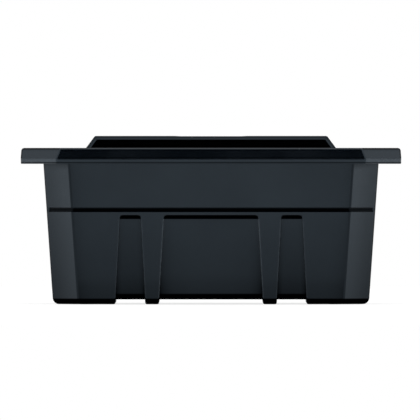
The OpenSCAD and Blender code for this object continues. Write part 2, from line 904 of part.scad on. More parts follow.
module drain_cock() {
  low = cock_z + lever_gap;
  color("#8d9093")
    translate([0, cock_y, 0])
      difference() {
        union() {
          translate([0, 0, low])
            cylinder(h = bonnet_z - lever_gap - low, r = cock_r);
          translate([0, 0, bonnet_z - eps])
            cylinder(h = lever_z + lever_t - bonnet_z + eps, r = stem_r);
        }
        translate([0, 0, drain_z])
          along_x(2 * (cock_r + eps))
            circle(r = drain_bore_r);
        // groove for the seal
        translate([0, 0, seal_z])
          difference() {
            cylinder(h = seal_w, r = cock_r + eps);
            translate([0, 0, -eps])
              cylinder(h = seal_w + 2 * eps, r = cock_r - seal_w);
          }
        // thread for the lever screw
        translate([0, 0, lever_z + lever_t - screw_len])
          cylinder(h = screw_len + eps, r = screw_r + screw_play);
      }
}

module cock_seal() {
  color("#17191a")
    translate([0, cock_y, seal_z])
      difference() {
        cylinder(h = seal_w, r = cock_r);
        translate([0, 0, -eps])
          cylinder(h = seal_w + 2 * eps, r = cock_r - seal_w);
      }
}

module drain_gland() {
  color("#2b2f33")
    translate([0, cock_y, bonnet_z])
      difference() {
        cylinder(h = gland_t, r = bonnet_r);
        translate([0, 0, -eps])
          cylinder(h = gland_t + 2 * eps, r = stem_r + cock_play);
      }
}

module drain_lever() {
  color("#7d2420")
    translate([0, cock_y, lever_z])
      difference() {
        union() {
          cylinder(h = lever_t, r = lever_hub_w / 2);
          translate([lever_len / 2, 0, lever_t / 2])
            cube([lever_len, lever_w, lever_t], center = true);
          translate([lever_len, 0, 0])
            cylinder(h = lever_t, r = lever_w / 2);
        }
        translate([0, 0, -eps])
          cylinder(h = lever_t + 2 * eps, r = stem_r + cock_play);
      }
}

module lever_screw() {
  color("#9a9da0")
    translate([0, cock_y, lever_z + lever_t]) {
      mirror([0, 0, 1])
        cylinder(h = screw_len - lever_gap, r = screw_r);
      cylinder(h = screw_head_h, r = stem_r + screw_r);
    }
}

tub();
foot_pads();
rim_gasket();
rim_frame();
rim_screws();
hinge_brackets();
bracket_screws();
hinge_pins();
hood_buffers();
splash_hood();
basket_floor();
long_sheet(-1);  // basket_front
long_sheet(1);  // basket_rear
end_sheet(-1);  // basket_end_left
end_sheet(1);  // basket_end_right
basket_posts();
basket_rim();
basket_feet();
bail(-1);  // bail_left
bail_grip(-1);  // bail_grip_left
bail_clips(-1);  // bail_clips_left
bail(1);  // bail_right
bail_grip(1);  // bail_grip_right
bail_clips(1);  // bail_clips_right
drain_body();
drain_washer();
drain_nut();
drain_strainer();
drain_cock();
cock_seal();
drain_gland();
drain_lever();
lever_screw();
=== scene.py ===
import math
import bmesh
import bpy
import numpy as np
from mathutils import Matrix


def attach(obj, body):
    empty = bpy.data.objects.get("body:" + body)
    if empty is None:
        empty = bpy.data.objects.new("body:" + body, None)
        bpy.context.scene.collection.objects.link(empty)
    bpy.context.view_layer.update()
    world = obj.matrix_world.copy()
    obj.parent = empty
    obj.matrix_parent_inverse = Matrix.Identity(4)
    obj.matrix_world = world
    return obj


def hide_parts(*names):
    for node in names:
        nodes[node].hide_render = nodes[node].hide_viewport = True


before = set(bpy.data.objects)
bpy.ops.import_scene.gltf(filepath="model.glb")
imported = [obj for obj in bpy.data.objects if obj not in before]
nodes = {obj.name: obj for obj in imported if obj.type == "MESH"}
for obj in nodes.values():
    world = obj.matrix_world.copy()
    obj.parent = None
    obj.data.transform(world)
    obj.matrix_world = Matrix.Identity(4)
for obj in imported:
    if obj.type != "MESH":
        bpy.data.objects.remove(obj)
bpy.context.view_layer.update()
print("frame loaded:", len(nodes), "nodes")

mm = 0.001                              # the pieces are worked out in millimetres, the stage in metres
crossAxes = ((1, 2), (0, 2), (0, 1))    # the two axes square to x, y and z
leastR = 0.02                           # radius kept by a ring that closes on its axis
leastArc = 0.2                          # radius kept by a rounded corner that is taken in
easing = {"merge": 0.01, "flat": 1.0, "sharp": 40.0, "segments": 2}    # of CAD copies; angles in degrees


# mesh making

def gridFaces(rows, cols, ring=True, loop=False):
    # quads of a rows by cols grid; ring joins the last column to the first, loop the last row to the first
    r = np.arange(rows if loop else rows - 1)[:, None]
    c = np.arange(cols if ring else cols - 1)[None, :]
    up, on = (r + 1) % rows, (c + 1) % cols
    return np.stack([r * cols + c, r * cols + on, up * cols + on, up * cols + c], -1).reshape(-1, 4)


def endCaps(rows, cols):
    # the first and the last row of a grid, as rings to close with one face each
    return [np.arange(cols), np.arange(cols) + (rows - 1) * cols]


def outwards(points, quads, caps):
    # caps are turned to run against the quads beside them, and every face is turned over if the volume inside
    # comes out negative
    count = len(points)
    edges = (quads * count + np.roll(quads, -1, 1)).ravel()
    caps = [cap[::-1] if np.isin(cap[0] * count + cap[1], edges) else cap for cap in caps]
    fans = [np.column_stack([np.full(len(cap) - 2, cap[0]), cap[1:-1], cap[2:]]) for cap in caps]
    triangles = np.concatenate([quads[:, :3], quads[:, [0, 2, 3]]] + fans)
    a, b, c = (points - points.mean(0))[triangles].transpose(1, 0, 2)
    if (a * np.cross(b, c)).sum() < 0:
        quads, caps = quads[:, ::-1], [cap[::-1] for cap in caps]
    return quads, caps


def putPiece(name, shells, material, body, node, marks=None, crease=None):
    # one mesh from shells of (points, quads, caps), put in the place of a CAD node. marks are named values of
    # the points, and crease is the angle in degrees from which an edge is sharp
    points, loops, sizes, base = [], [], [], 0
    for shellPoints, quads, caps in shells:
        quads, caps = outwards(shellPoints, quads, caps)
        points.append(shellPoints)
        loops += [(quads + base).ravel()] + [cap + base for cap in caps]
        sizes += [4] * len(quads) + [len(cap) for cap in caps]
        base += len(shellPoints)
    points, loops, sizes = np.concatenate(points) * mm, np.concatenate(loops), np.array(sizes)
    mesh = bpy.data.meshes.new(name)
    mesh.vertices.add(len(points))
    mesh.vertices.foreach_set("co", points.astype(np.float32).ravel())
    mesh.loops.add(len(loops))
    mesh.loops.foreach_set("vertex_index", loops.astype(np.int32))
    mesh.polygons.add(len(sizes))
    mesh.polygons.foreach_set("loop_start", (np.cumsum(sizes) - sizes).astype(np.int32))
    mesh.polygons.foreach_set("use_smooth", np.ones(len(sizes), bool))
    mesh.update(calc_edges=True)
    mesh.validate()
    if crease:
        mesh.set_sharp_from_angle(angle=math.radians(crease))
    for key, value in (marks or {}).items():
        mesh.attributes.new(key, "FLOAT", "POINT").data.foreach_set("value", value.astype(np.float32))
    mesh.materials.append(material)
    piece = bpy.data.objects.new(name, mesh)
    bpy.context.scene.collection.objects.link(piece)
    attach(piece, body)
    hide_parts(node)
    print("made", name, len(points), "points")


def easedNode(name, width, body, material):
    # a merged copy of a CAD node with its sharp edges eased by a bevel
    mesh = nodes[name].data.copy()
    mesh.name = name + "_eased"
    work = bmesh.new()
    work.from_mesh(mesh)
    bmesh.ops.remove_doubles(work, verts=work.verts, dist=easing["merge"] * mm)
    flat = math.radians(easing["flat"])
    bmesh.ops.dissolve_limit(work, angle_limit=flat, verts=work.verts, edges=work.edges)
    work.to_mesh(mesh)
    work.free()
    mesh.materials.clear()
    mesh.materials.append(material)
    mesh.shade_smooth()
    piece = bpy.data.objects.new(name + "_eased", mesh)
    bpy.context.scene.collection.objects.link(piece)
    bevel = piece.modifiers.new("eased_edges", "BEVEL")
    bevel.width = width * mm
    bevel.segments = easing["segments"]
    bevel.limit_method = "ANGLE"
    bevel.angle_limit = math.radians(easing["sharp"])
    piece.modifiers.new("flat_faces", "WEIGHTED_NORMAL")
    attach(piece, body)
    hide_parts(name)
    print("eased", name)


# curves and solids that several pieces share

def smooth(x, low, high):
    # rises from 0 at low to 1 at high with flat ends
    t = np.clip((x - low) / (high - low), 0, 1)
    return t * t * (3 - 2 * t)


def spread(start, *runs):
    # evenly spaced values: start, then each run of (end, steps)
    out = [np.array([start], float)]
    for end, steps in runs:
        last = out[-1][-1]
        out.append(last + (end - last) * np.arange(1, steps + 1) / steps)
    return np.concatenate(out)


def quarter(steps):
    # angles of a quarter turn
    return np.linspace(0, math.pi / 2, steps + 1)


def circle(sides):
    # angles of a full turn
    return np.linspace(0, 2 * math.pi, sides, endpoint=False)


def lathe(profile, sides, centre, axis=1, flutes=0, deep=0.0, closed=False):
    # a profile of (radius, distance, flute share) rows turned about the axis through centre. Flutes scallop
    # the radius by deep where the share is 1. closed joins the last row to the first, else ends are capped
    profile = np.array([(*row, 0.0)[:3] for row in profile], float)
    angle = circle(sides)
    scallop = deep * profile[:, 2:] * (0.5 + 0.5 * np.cos(flutes * angle))
    radius = np.maximum(profile[:, :1], leastR) * (1 - scallop)
    points = np.empty((*radius.shape, 3))
    first, second = crossAxes[axis]
    points[..., first] = centre[first] + radius * np.cos(angle)
    points[..., second] = centre[second] + radius * np.sin(angle)
    points[..., axis] = centre[axis] + profile[:, 1:2]
    caps = [] if closed else endCaps(len(profile), sides)
    return points.reshape(-1, 3), gridFaces(len(profile), sides, loop=closed), caps


def bentPath(corners, bends, steps=8):
    # straight runs between corners, each inner corner turned through an arc of its bend radius
    corners = np.array(corners, float)
    out = [corners[:1]]
    for before, corner, after, bend in zip(corners[:-2], corners[1:-1], corners[2:], bends):
        u, v = ((end - corner) / np.linalg.norm(end - corner) for end in (before, after))
        half = math.acos(u @ v) / 2
        centre = corner + (u + v) / np.linalg.norm(u + v) * bend / math.sin(half)
        start = (corner + u * bend / math.tan(half) - centre) / bend
        turn = np.linspace(0, math.pi - 2 * half, steps + 1)[:, None]
        out.append(centre + bend * (np.cos(turn) * start - np.sin(turn) * u))
    return np.concatenate(out + [corners[-1:]])


def tube(path, radius, sides=20):
    # circles of the given radius at each point of a level path, square to it
    run = np.diff(path, axis=0)
    run = run / np.linalg.norm(run, axis=1)[:, None]
    along = np.concatenate([run[:1], run[:-1] + run[1:], run[-1:]])
    along = along / np.linalg.norm(along, axis=1)[:, None]
    up = np.array([0.0, 0.0, 1.0])
    side = np.cross(along, up)
    angle = circle(sides)[:, None]
    points = path[:, None] + radius[:, None, None] * (np.cos(angle) * side[:, None] + np.sin(angle) * up)
    return points.reshape(-1, 3), gridFaces(len(path), sides), endCaps(len(path), sides)


def roundPlan(halfW, halfD, bend, steps=5):
    # rectangles with rounded corners, one a level, as x and y arrays going counterclockwise
    halfW, halfD, bend = (np.asarray(v, float).reshape(-1, 1) for v in (halfW, halfD, bend))
    angle = quarter(steps)
    xs, ys = [], []
    for turn, (sx, sy) in enumerate(((1, 1), (-1, 1), (-1, -1), (1, -1))):
        xs.append(sx * (halfW - bend) + bend * np.cos(angle + turn * math.pi / 2))
        ys.append(sy * (halfD - bend) + bend * np.sin(angle + turn * math.pi / 2))
    return np.concatenate(xs, 1), np.concatenate(ys, 1)


def easedBar(centre, halfW, halfD, bend, levels):
    # an upright bar: rounded rectangles stacked through (inset, height) levels, each taken in by its inset
    inset, z = np.array(levels, float).T
    x, y = roundPlan(halfW - inset, halfD - inset, np.maximum(bend - inset, leastArc))
    points = np.stack([centre[0] + x, centre[1] + y, np.broadcast_to(z[:, None], x.shape)], -1)
    return points.reshape(-1, 3), gridFaces(*x.shape), endCaps(*x.shape)


def easedPlate(outline, levels, axis):
    # an outline given as a function of its inset, carried along an axis through (inset, place) levels
    flat = np.stack([outline(inset) for inset, _ in levels])
    points = np.empty((*flat.shape[:2], 3))
    points[..., crossAxes[axis]] = flat
    points[..., axis] = np.array([spot for _, spot in levels])[:, None]
    return points.reshape(-1, 3), gridFaces(*flat.shape[:2]), endCaps(*flat.shape[:2])


def easedEnds(low, high, eases):
    # (inset, place) levels from low to high, where eases gives the insets at distances from either end
    start = [(inset, low + far) for inset, far in eases]
    return start + [(inset, high - far) for inset, far in eases[::-1]]


# materials

class Wire:
    # one output socket of a node tree; maths on it adds Math nodes
    def __init__(self, tree, socket=None):
        self.tree, self.socket = tree, socket

    def node(self, kind, settings=None, values=None, get=0):
        # a node of that kind: its settings first, then the values or links of its sockets
        made = self.tree.nodes.new(kind)
        for key, value in (settings or {}).items():
            setattr(made, key, value)
        for key, value in (values or {}).items():
            if isinstance(value, Wire):
                self.tree.links.new(value.socket, made.inputs[key])
            else:
                made.inputs[key].default_value = value
        return Wire(self.tree, made.outputs[get])

    def maths(self, operation, first, second):
        return self.node("ShaderNodeMath", {"operation": operation}, {0: first, 1: second})

    def __add__(self, other):
        return self.maths("ADD", self, other)

    def __radd__(self, other):
        return self.maths("ADD", other, self)

    def __sub__(self, other):
        return self.maths("SUBTRACT", self, other)

    def __rsub__(self, other):
        return self.maths("SUBTRACT", other, self)

    def __mul__(self, other):
        return self.maths("MULTIPLY", self, other)

    def __rmul__(self, other):
        return self.maths("MULTIPLY", other, self)

    def blend(self, low, high):
        # colour low where this value is 0 and high where it is 1
        return self.node("ShaderNodeMix", {"data_type": "RGBA"},
                         {0: self, 6: colourOf(low), 7: colourOf(high)}, get=2)

    def between(self, low, high):
        # this value's span low to high carried to 0 to 1
        return self.node("ShaderNodeMapRange", {"clamp": True},
                         {"Value": self, "From Min": low, "From Max": high})


def colourOf(value):
    return value if isinstance(value, Wire) else (*value, 1)


def startMaterial(name):
    material = bpy.data.materials.new(name)
    material.use_nodes = True
    tree = material.node_tree
    return material, Wire(tree), tree.nodes["Principled BSDF"]


def place(maker, scale=(1, 1, 1)):
    # object coordinates, stretched
    spot = maker.node("ShaderNodeTexCoord", get="Object")
    return maker.node("ShaderNodeMapping", {"vector_type": "POINT"}, {"Vector": spot, "Scale": scale})


def noise(maker, spot, scale, detail=2.0, rough=0.5):
    return maker.node("ShaderNodeTexNoise", {},
                      {"Vector": spot, "Scale": scale, "Detail": detail, "Roughness": rough})


def setShader(maker, shader, colour, roughness, bump=None, fixed=None):
    # colour and roughness as values or links, a bump of (height, depth in metres, strength), fixed sockets
    for key, value in (("Base Color", colourOf(colour)), ("Roughness", roughness)):
        if isinstance(value, Wire):
            maker.tree.links.new(value.socket, shader.inputs[key])
        else:
            shader.inputs[key].default_value = value
    if bump:
        height, deep, strength = bump
        normal = maker.node("ShaderNodeBump", {}, {"Height": height, "Strength": strength, "Distance": deep})
        maker.tree.links.new(normal.socket, shader.inputs["Normal"])
    for key, value in (fixed or {}).items():
        shader.inputs[key].default_value = value


def mixInto(maker, shader, share, other):
    # the material shows its own shader where share is 0 and the other where it is 1
    own = Wire(maker.tree, shader.outputs[0])
    both = maker.node("ShaderNodeMixShader", {}, {0: share, 1: own, 2: other})
    maker.tree.links.new(both.socket, maker.tree.nodes["Material Output"].inputs["Surface"])


# the pale edge tone is scuffed wear that also stands in as a painted highlight; the last colour is the
# near-black of painted shade
shellLook = {"dark": (0.0012, 0.0026, 0.0048), "pale": (0.0024, 0.0040, 0.0066),
             "cloud": 14, "cloudSpan": (0.35, 0.65),    # a span is the part of a noise's values that shows
             "gloss": 0.20, "dull": 0.27, "tint": (0.66, 0.84, 1.0, 1.0), "level": 0.5,
             "grain": 1900, "grainDeep": 0.00003, "grainBump": 0.25, "wornSheen": (0.085, 0.100, 0.115),
             "scuffAndSheen": 160.0, "scuffSpan": (0.42, 0.62), "scuffLeast": 0.65, "scuffRough": 0.10,
             "shadeMatt": (0.0004, 0.0004, 0.0006)}


def shellMaterial(name):
    # satin black moulding: fine spark-eroded grain, faint handling clouds, paler scuffed edges that also
    # carry painted highlights, and painted shade shown as near-black matt. Two attributes of the piece, each
    # from 0 to 1,
    # say where the last two are: edge, and the painted shade share
    look = shellLook
    material, maker, shader = startMaterial(name)
    spot = place(maker)
    grain = noise(maker, spot, look["grain"], 1.0)
    cloud = noise(maker, spot, look["cloud"], 4.0, 0.6).between(*look["cloudSpan"])
    colour = cloud.blend(look["dark"], look["pale"])
    roughness = look["gloss"] + cloud * (look["dull"] - look["gloss"])
    edge = maker.node("ShaderNodeAttribute", {"attribute_name": "edge"}, get="Fac")
    patches = noise(maker, spot, look["scuffAndSheen"], 3.0, 0.7).between(*look["scuffSpan"])
    # scuffed wear on the marked edges, which also paints highlights there
    scuffAndSheen = edge * (look["scuffLeast"] + patches * (1 - look["scuffLeast"]))
    setShader(maker, shader, scuffAndSheen.blend(colour, look["wornSheen"]), roughness + scuffAndSheen * look["scuffRough"],
              (grain, look["grainDeep"], look["grainBump"]),
              {"Specular Tint": look["tint"], "Specular IOR Level": look["level"]})
    # painted shade: where marked, a near-black matt shader takes the place of the moulding's own
    hollow = maker.node("ShaderNodeAttribute", {"attribute_name": "hollow"}, get="Fac")
    shadeMatt = maker.node("ShaderNodeBsdfDiffuse", {}, {"Color": colourOf(look["shadeMatt"]), "Roughness": 1.0})
    mixInto(maker, shader, hollow, shadeMatt)
    return material


steelLook = {"dark": (0.40, 0.41, 0.42), "pale": (0.62, 0.63, 0.64), "smoothest": 0.24, "roughest": 0.40}
zincLook = {"dark": (0.42, 0.43, 0.42), "pale": (0.58, 0.59, 0.57), "smoothest": 0.30, "roughest": 0.44}
brush = {"along": 18.0, "across": 2600.0, "cloud": 26.0, "cloudSpan": (0.3, 0.7), "lineShare": 0.7,
         "toneSpan": (0.25, 0.75), "deep": 0.00002, "bump": 0.35}


def steelMaterial(name, axis, look):
    # brushed metal: noise drawn out along one axis gives the brush lines, broad noise the handling marks
    material, maker, shader = startMaterial(name)
    scale = tuple(brush["along"] if i == axis else brush["across"] for i in range(3))
    lines = noise(maker, place(maker, scale), 1.0, 3.0, 0.7)
    cloud = noise(maker, place(maker), brush["cloud"], 3.0, 0.6).between(*brush["cloudSpan"])
    tone = (lines * brush["lineShare"] + cloud * (1 - brush["lineShare"])).between(*brush["toneSpan"])
    setShader(maker, shader, tone.blend(look["dark"], look["pale"]),
              look["smoothest"] + tone * (look["roughest"] - look["smoothest"]),
              (lines, brush["deep"], brush["bump"]), {"Metallic": 1.0})
    return material


speck = {"cloud": 30.0, "cloudShare": 0.6, "span": (0.35, 0.65), "swing": 0.12, "bump": 0.35}


def speckMaterial(name, dark, pale, roughness, grain, deep, coat=0.0):
    # plain plastic or rubber: two tones clouded together with a fine grain
    material, maker, shader = startMaterial(name)
    spot = place(maker)
    fine = noise(maker, spot, grain, 2.0, 0.6)
    broad = noise(maker, spot, speck["cloud"], 4.0, 0.6)
    cloud = (broad * speck["cloudShare"] + fine * (1 - speck["cloudShare"])).between(*speck["span"])
    setShader(maker, shader, cloud.blend(dark, pale), roughness + (cloud - 0.5) * speck["swing"],
              (fine, deep, speck["bump"]), {"Coat Weight": coat})
    return material


shellMat = shellMaterial("satin_black_shell")
rubberMat = speckMaterial("matt_rubber", (0.008, 0.008, 0.008), (0.016, 0.016, 0.017), 0.72, 1500.0, 0.00005)
fittingMat = speckMaterial("glass_filled_grey", (0.018, 0.019, 0.021), (0.036, 0.038, 0.041), 0.46, 1700.0,
                           0.00004)
gripMat = speckMaterial("soft_black_grip", (0.008, 0.0085, 0.009), (0.015, 0.016, 0.017), 0.55, 1300.0,
                        0.00006)
leverMat = speckMaterial("dark_red_lever", (0.17, 0.014, 0.011), (0.23, 0.022, 0.017), 0.30, 1200.0, 0.00002,
                         coat=0.15)
steelAlongX = steelMaterial("brushed_steel_x", 0, steelLook)
steelAlongY = steelMaterial("brushed_steel_y", 1, steelLook)
steelAlongZ = steelMaterial("brushed_steel_z", 2, steelLook)
zincMat = steelMaterial("zinc_screw", 2, zincLook)

# finishes of the CAD nodes, also of those that a piece stands for
nodeLooks = (
    (shellMat, ("tub", "rim_frame", "splash_hood")),
    (rubberMat, ("foot_pads", "rim_gasket", "hood_buffers", "drain_washer", "cock_seal")),
    (zincMat, ("rim_screws", "bracket_screws", "lever_screw")),
    (fittingMat, ("hinge_brackets", "drain_body", "drain_nut", "drain_gland")),
    (gripMat, ("basket_feet", "bail_grip_left", "bail_grip_right")),
    (leverMat, ("drain_lever",)),
    (steelAlongX, ("hinge_pins", "basket_floor", "basket_front", "basket_rear", "basket_rim", "bail_left",
                   "bail_right")),
    (steelAlongY, ("basket_end_left", "basket_end_right", "drain_strainer", "bail_clips_left",
                   "bail_clips_right")),
    (steelAlongZ, ("basket_posts", "drain_cock")))
for finish, nodeNames in nodeLooks:
    for nodeName in nodeNames:
        for slotPlace in nodes[nodeName].material_slots:
            slotPlace.material = finish
print("materials put on", sum(len(nodeNames) for _, nodeNames in nodeLooks), "nodes")


# the eight-sided plan shared by the tub and the rim

turns = np.radians(45.0 * np.arange(8))
sideNormals = np.stack([np.cos(turns), np.sin(turns)], -1)
arcCut = math.tan(math.pi / 8)    # share of its radius that a 45 degree arc takes off each side
legGain = 2 - math.sqrt(2)        # growth of a corner leg for an offset of one
square = 0.99                     # least share of a normal along an axis that counts as facing that way
facet = (0.70, 0.72)              # span that holds the share along x of a facet's normal


def planRings(ring, fronts, ends, facets, arc):
    # levels of an eight-sided plan, counterclockwise from the right end: straight sides joined by 45 degree
    # arcs of arc points. ring is half width, half depth, corner leg and arc radius, each with a value a level
    # or a value a point; fronts are shares of half the front, ends and facets shares of theirs
    ring = [np.asarray(v, float).reshape(len(v), -1) for v in np.broadcast_arrays(*ring)]
    levels = len(ring[0])
    swing = np.linspace(0, math.pi / 4, arc + 2)[1:-1][None, :]
    across = 0.5 + 0.5 * fronts
    shares = (ends, 1 - facets[::-1], across, facets, ends, 1 - facets[::-1], across, facets)
    xs, ys, normals, at = [], [], [], 0
    for side, share in enumerate(map(np.atleast_2d, shares)):
        here, after = sideNormals[side], sideNormals[(side + 1) % 8]
        for count, bent in ((share.shape[1], False), (arc, True)):
            halfW, halfD, leg, bend = (v if v.shape[1] == 1 else v[:, at:at + count] for v in ring)
            corners = [(halfW, leg - halfD), (halfW, halfD - leg), (halfW - leg, halfD),
                       (leg - halfW, halfD), (-halfW, halfD - leg), (-halfW, leg - halfD),
                       (leg - halfW, -halfD), (halfW - leg, -halfD)]
            (ax, ay), (bx, by) = corners[side], corners[(side + 1) % 8]
            if bent:
                middle = (here + after) / (1 + here @ after)
                angle = turns[side] + swing
                x, y = bx + bend * (np.cos(angle) - middle[0]), by + bend * (np.sin(angle) - middle[1])
                normal = np.stack([np.cos(angle), np.sin(angle)], -1)[0]
            else:
                length, cut = np.hypot(bx - ax, by - ay), bend * arcCut
                run = (cut + (length - 2 * cut) * share) / length
                x, y = ax + (bx - ax) * run, ay + (by - ay) * run
                normal = np.broadcast_to(here, (count, 2))
            xs.append(np.broadcast_to(x, (levels, count)))
            ys.append(np.broadcast_to(y, (levels, count)))
            normals.append(normal)
            at += count
    return np.concatenate(xs, 1), np.concatenate(ys, 1), np.concatenate(normals)


# tub

tub = {
    # halves, corner leg and corner arc of the rim's lower band, and of the body where it meets the lip
    "rimW": 210.0, "rimD": 150.0, "rimLeg": 40.5, "rimBend": 6.0, "rimLeastBend": 1.5,
    "bodyW": 185.0, "bodyD": 125.0, "leg": 28.2, "bend": 4.2, "leastBend": 0.8, "arcSteps": 6,
    "draft": math.tan(math.radians(3.9)), "wall": 3.0,
    # heights, and the rounding of the seam, lip, flange root, floor and bottom edge. hold is how far off an
    # edge stands the row that keeps it crisp, here and in the other pieces
    "seamZ": 161.0, "lipZ": 154.9, "straightZ": 90.0, "floorZ": 8.6, "channelZ": 5.3, "bottomZ": 0.05,
    "seamEase": 0.25, "lipEase": 0.7, "lipLean": 0.27, "ledge": 14.0, "ledgeUnder": 12.0, "fillet": 1.6,
    "floorRound": 4.0, "round": 7.0, "endRound": 0.94, "seamIn": 1.2, "hold": 0.2,
    # panels: half widths at top and foot, place of the narrow ones, depth, upper slope, corners and edges
    "wide": (51.6, 57.4), "narrow": (11.15, 16.5), "narrowX": 89.0, "panelTop": 98.7, "panelFoot": -0.4,
    "panelDeep": 5.0, "panelSlope": 4.7, "panelRound": 3.2, "panelEdge": 1.4, "panelEase": 0.3, "sheer": 0.15,
    "grooveZ": 104.3, "grooveH": 4.8, "grooveDeep": 1.5, "grooveEnd": 2.4, "grooveFade": (-0.3, 0.9),
    "grooveTurn": 0.3,    # least share of a normal along y where the groove runs
    # feet: how far they reach in along the ends, their edges, the height of their outline, their taper
    "footY": 80.0, "footFade": (-1.0, 0.6), "footEase": 2.0, "footCut": 2.4,
    "footTaper": 0.02, "footTaperX": (115.0, 140.0), "footTaperY": 0.004,
    "bossR": 17.0, "bossBack": 105.2, "bossFace": 114.7, "bossZ": 26.1, "bossEase": 0.8,
    # painted highlight, with scuffed wear, on the panels' edges (outer ones, inner ones, and the x between
    # them) and on the lip's facets
    "ribSheen": (0.45, 1.0), "ribX": 65.0, "ribAt": 0.5, "ribWide": 0.75, "lipWornSheen": 0.36,
    # painted shade shares: lip lines, facet edges, under the rim, panel tops and sides, bottom edge, facets'
    # groove
    "lipLine": 0.85, "lipShade": 0.3, "edgeLine": 0.5, "endLine": 0.7, "shade": 0.40, "shadeZ": (-9.0, 1.0),
    "browIn": (-0.2, 0.5), "browZ": (-0.5, 0.4), "nook": 0.36, "nookIn": 0.1, "nookWide": 8.0,
    "nookLean": 1.3, "tuck": (0.002, 0.02), "facetGroove": 0.92,
    # painted shade darkens the walls downwards: its share at the lip, and its gain for a whole height, which
    # runs over a span of the way to the floor; on the front, all over the facets, added at the facets' outer
    # edges
    "shadeSpan": (0.25, 0.90), "frontShade": (0.12, 0.40), "facetShade": (0.0, 0.22),
    "facetEndShade": (0.27, 0.11),
    # painted shade that the front gains at its foot and beside the facets
    "footShade": 0.13, "footSpan": (0.78, 0.92), "besideShade": 0.22, "besideWide": 9.0}
plainKind, outerKind, innerKind = 0, 1, 2    # a level on neither wall, on the outer wall or on the inner wall


def panelMix(z):
    # share of the way down a panel, 0 at its top and 1 at its foot
    top = tub["panelTop"] - tub["panelEase"]
    return np.clip((top - z) / (top - tub["panelFoot"]), 0, 1)


def panelInside(x, z, grow=0.0):
    # distance inside the nearest panel outline, whose sides spread evenly downwards and whose upper corners
    # are round
    r, best = tub["panelRound"], -np.inf
    narrow = tub["narrow"]
    for centre, pair in ((0.0, tub["wide"]), (-tub["narrowX"], narrow), (tub["narrowX"], narrow)):
        side = pair[0] + (pair[1] - pair[0]) * panelMix(z) + grow - np.abs(x - centre)
        top = tub["panelTop"] + grow - z
        corner = r - np.hypot(np.clip(r - side, 0, None), np.clip(r - top, 0, None))
        best = np.maximum(best, corner + np.clip(np.minimum(side, top) - r, 0, None))
    return best


def edgeStep(inside, bend, deep):
    # depth at a distance inside an outline: a quarter round of radius bend up to it, then a sheer drop
    turn = np.clip(inside + bend, 0, bend)
    return bend - np.sqrt(bend ** 2 - turn ** 2) + (deep - bend) * smooth(inside, 0.0, tub["sheer"])


def panelDepth(x, z, grow=0.0):
    # how far a panel is sunk at a place: an edge step at the sides and an even slope at the top
    step = edgeStep(panelInside(x, z, grow), tub["panelEdge"], tub["panelDeep"])
    down = tub["panelTop"] + tub["panelEase"] + grow - z
    return np.minimum(step, tub["panelDeep"] * np.clip(down / tub["panelSlope"], 0, 1))


def frontStations():
    # x stations across the front at the panels' top and foot, dense beside every panel edge: near is measured
    # in from an edge, plain stations lie within the wide panel and outer ones beyond the narrow panels
    near = np.concatenate([[-6.0, -4.4, -3.2], spread(-2.4, (0.0, 16)),
                           [0.06, 0.15, 0.5, 1.2, 2.4, 4.0, 6.0]])
    narrow = tub["narrow"]
    edges = ((0.0, tub["wide"], 1), (tub["narrowX"], narrow, -1), (tub["narrowX"], narrow, 1))
    levels = []
    for level, plain, outer in ((0, [0.0, 20.0, 38.0], [112.0, 121.0, 131.0, 141.0, 147.5]),
                                (1, [0.0, 22.0, 44.0], [116.0, 123.0, 130.0, 136.0, 140.5])):
        beside = [centre + way * pair[level] - way * near for centre, pair, way in edges]
        half = np.concatenate([np.sort(np.concatenate([plain] + beside)), outer])
        levels.append(np.concatenate([-half[:0:-1], half]))
    return levels


def bodyRing(z, inset):
    # plan of the drafted body at height z, taken in by inset
    fall = (tub["lipZ"] - z) * tub["draft"] + inset
    return (tub["bodyW"] - fall, tub["bodyD"] - fall, tub["leg"] - legGain * inset,
            np.maximum(tub["bend"] - inset, tub["leastBend"]))


def rimRing(inset):
    # plan of the rim's lower band, taken in by inset
    return (tub["rimW"] - inset, tub["rimD"] - inset, tub["rimLeg"] - legGain * inset,
            max(tub["rimBend"] - inset, tub["rimLeastBend"]))


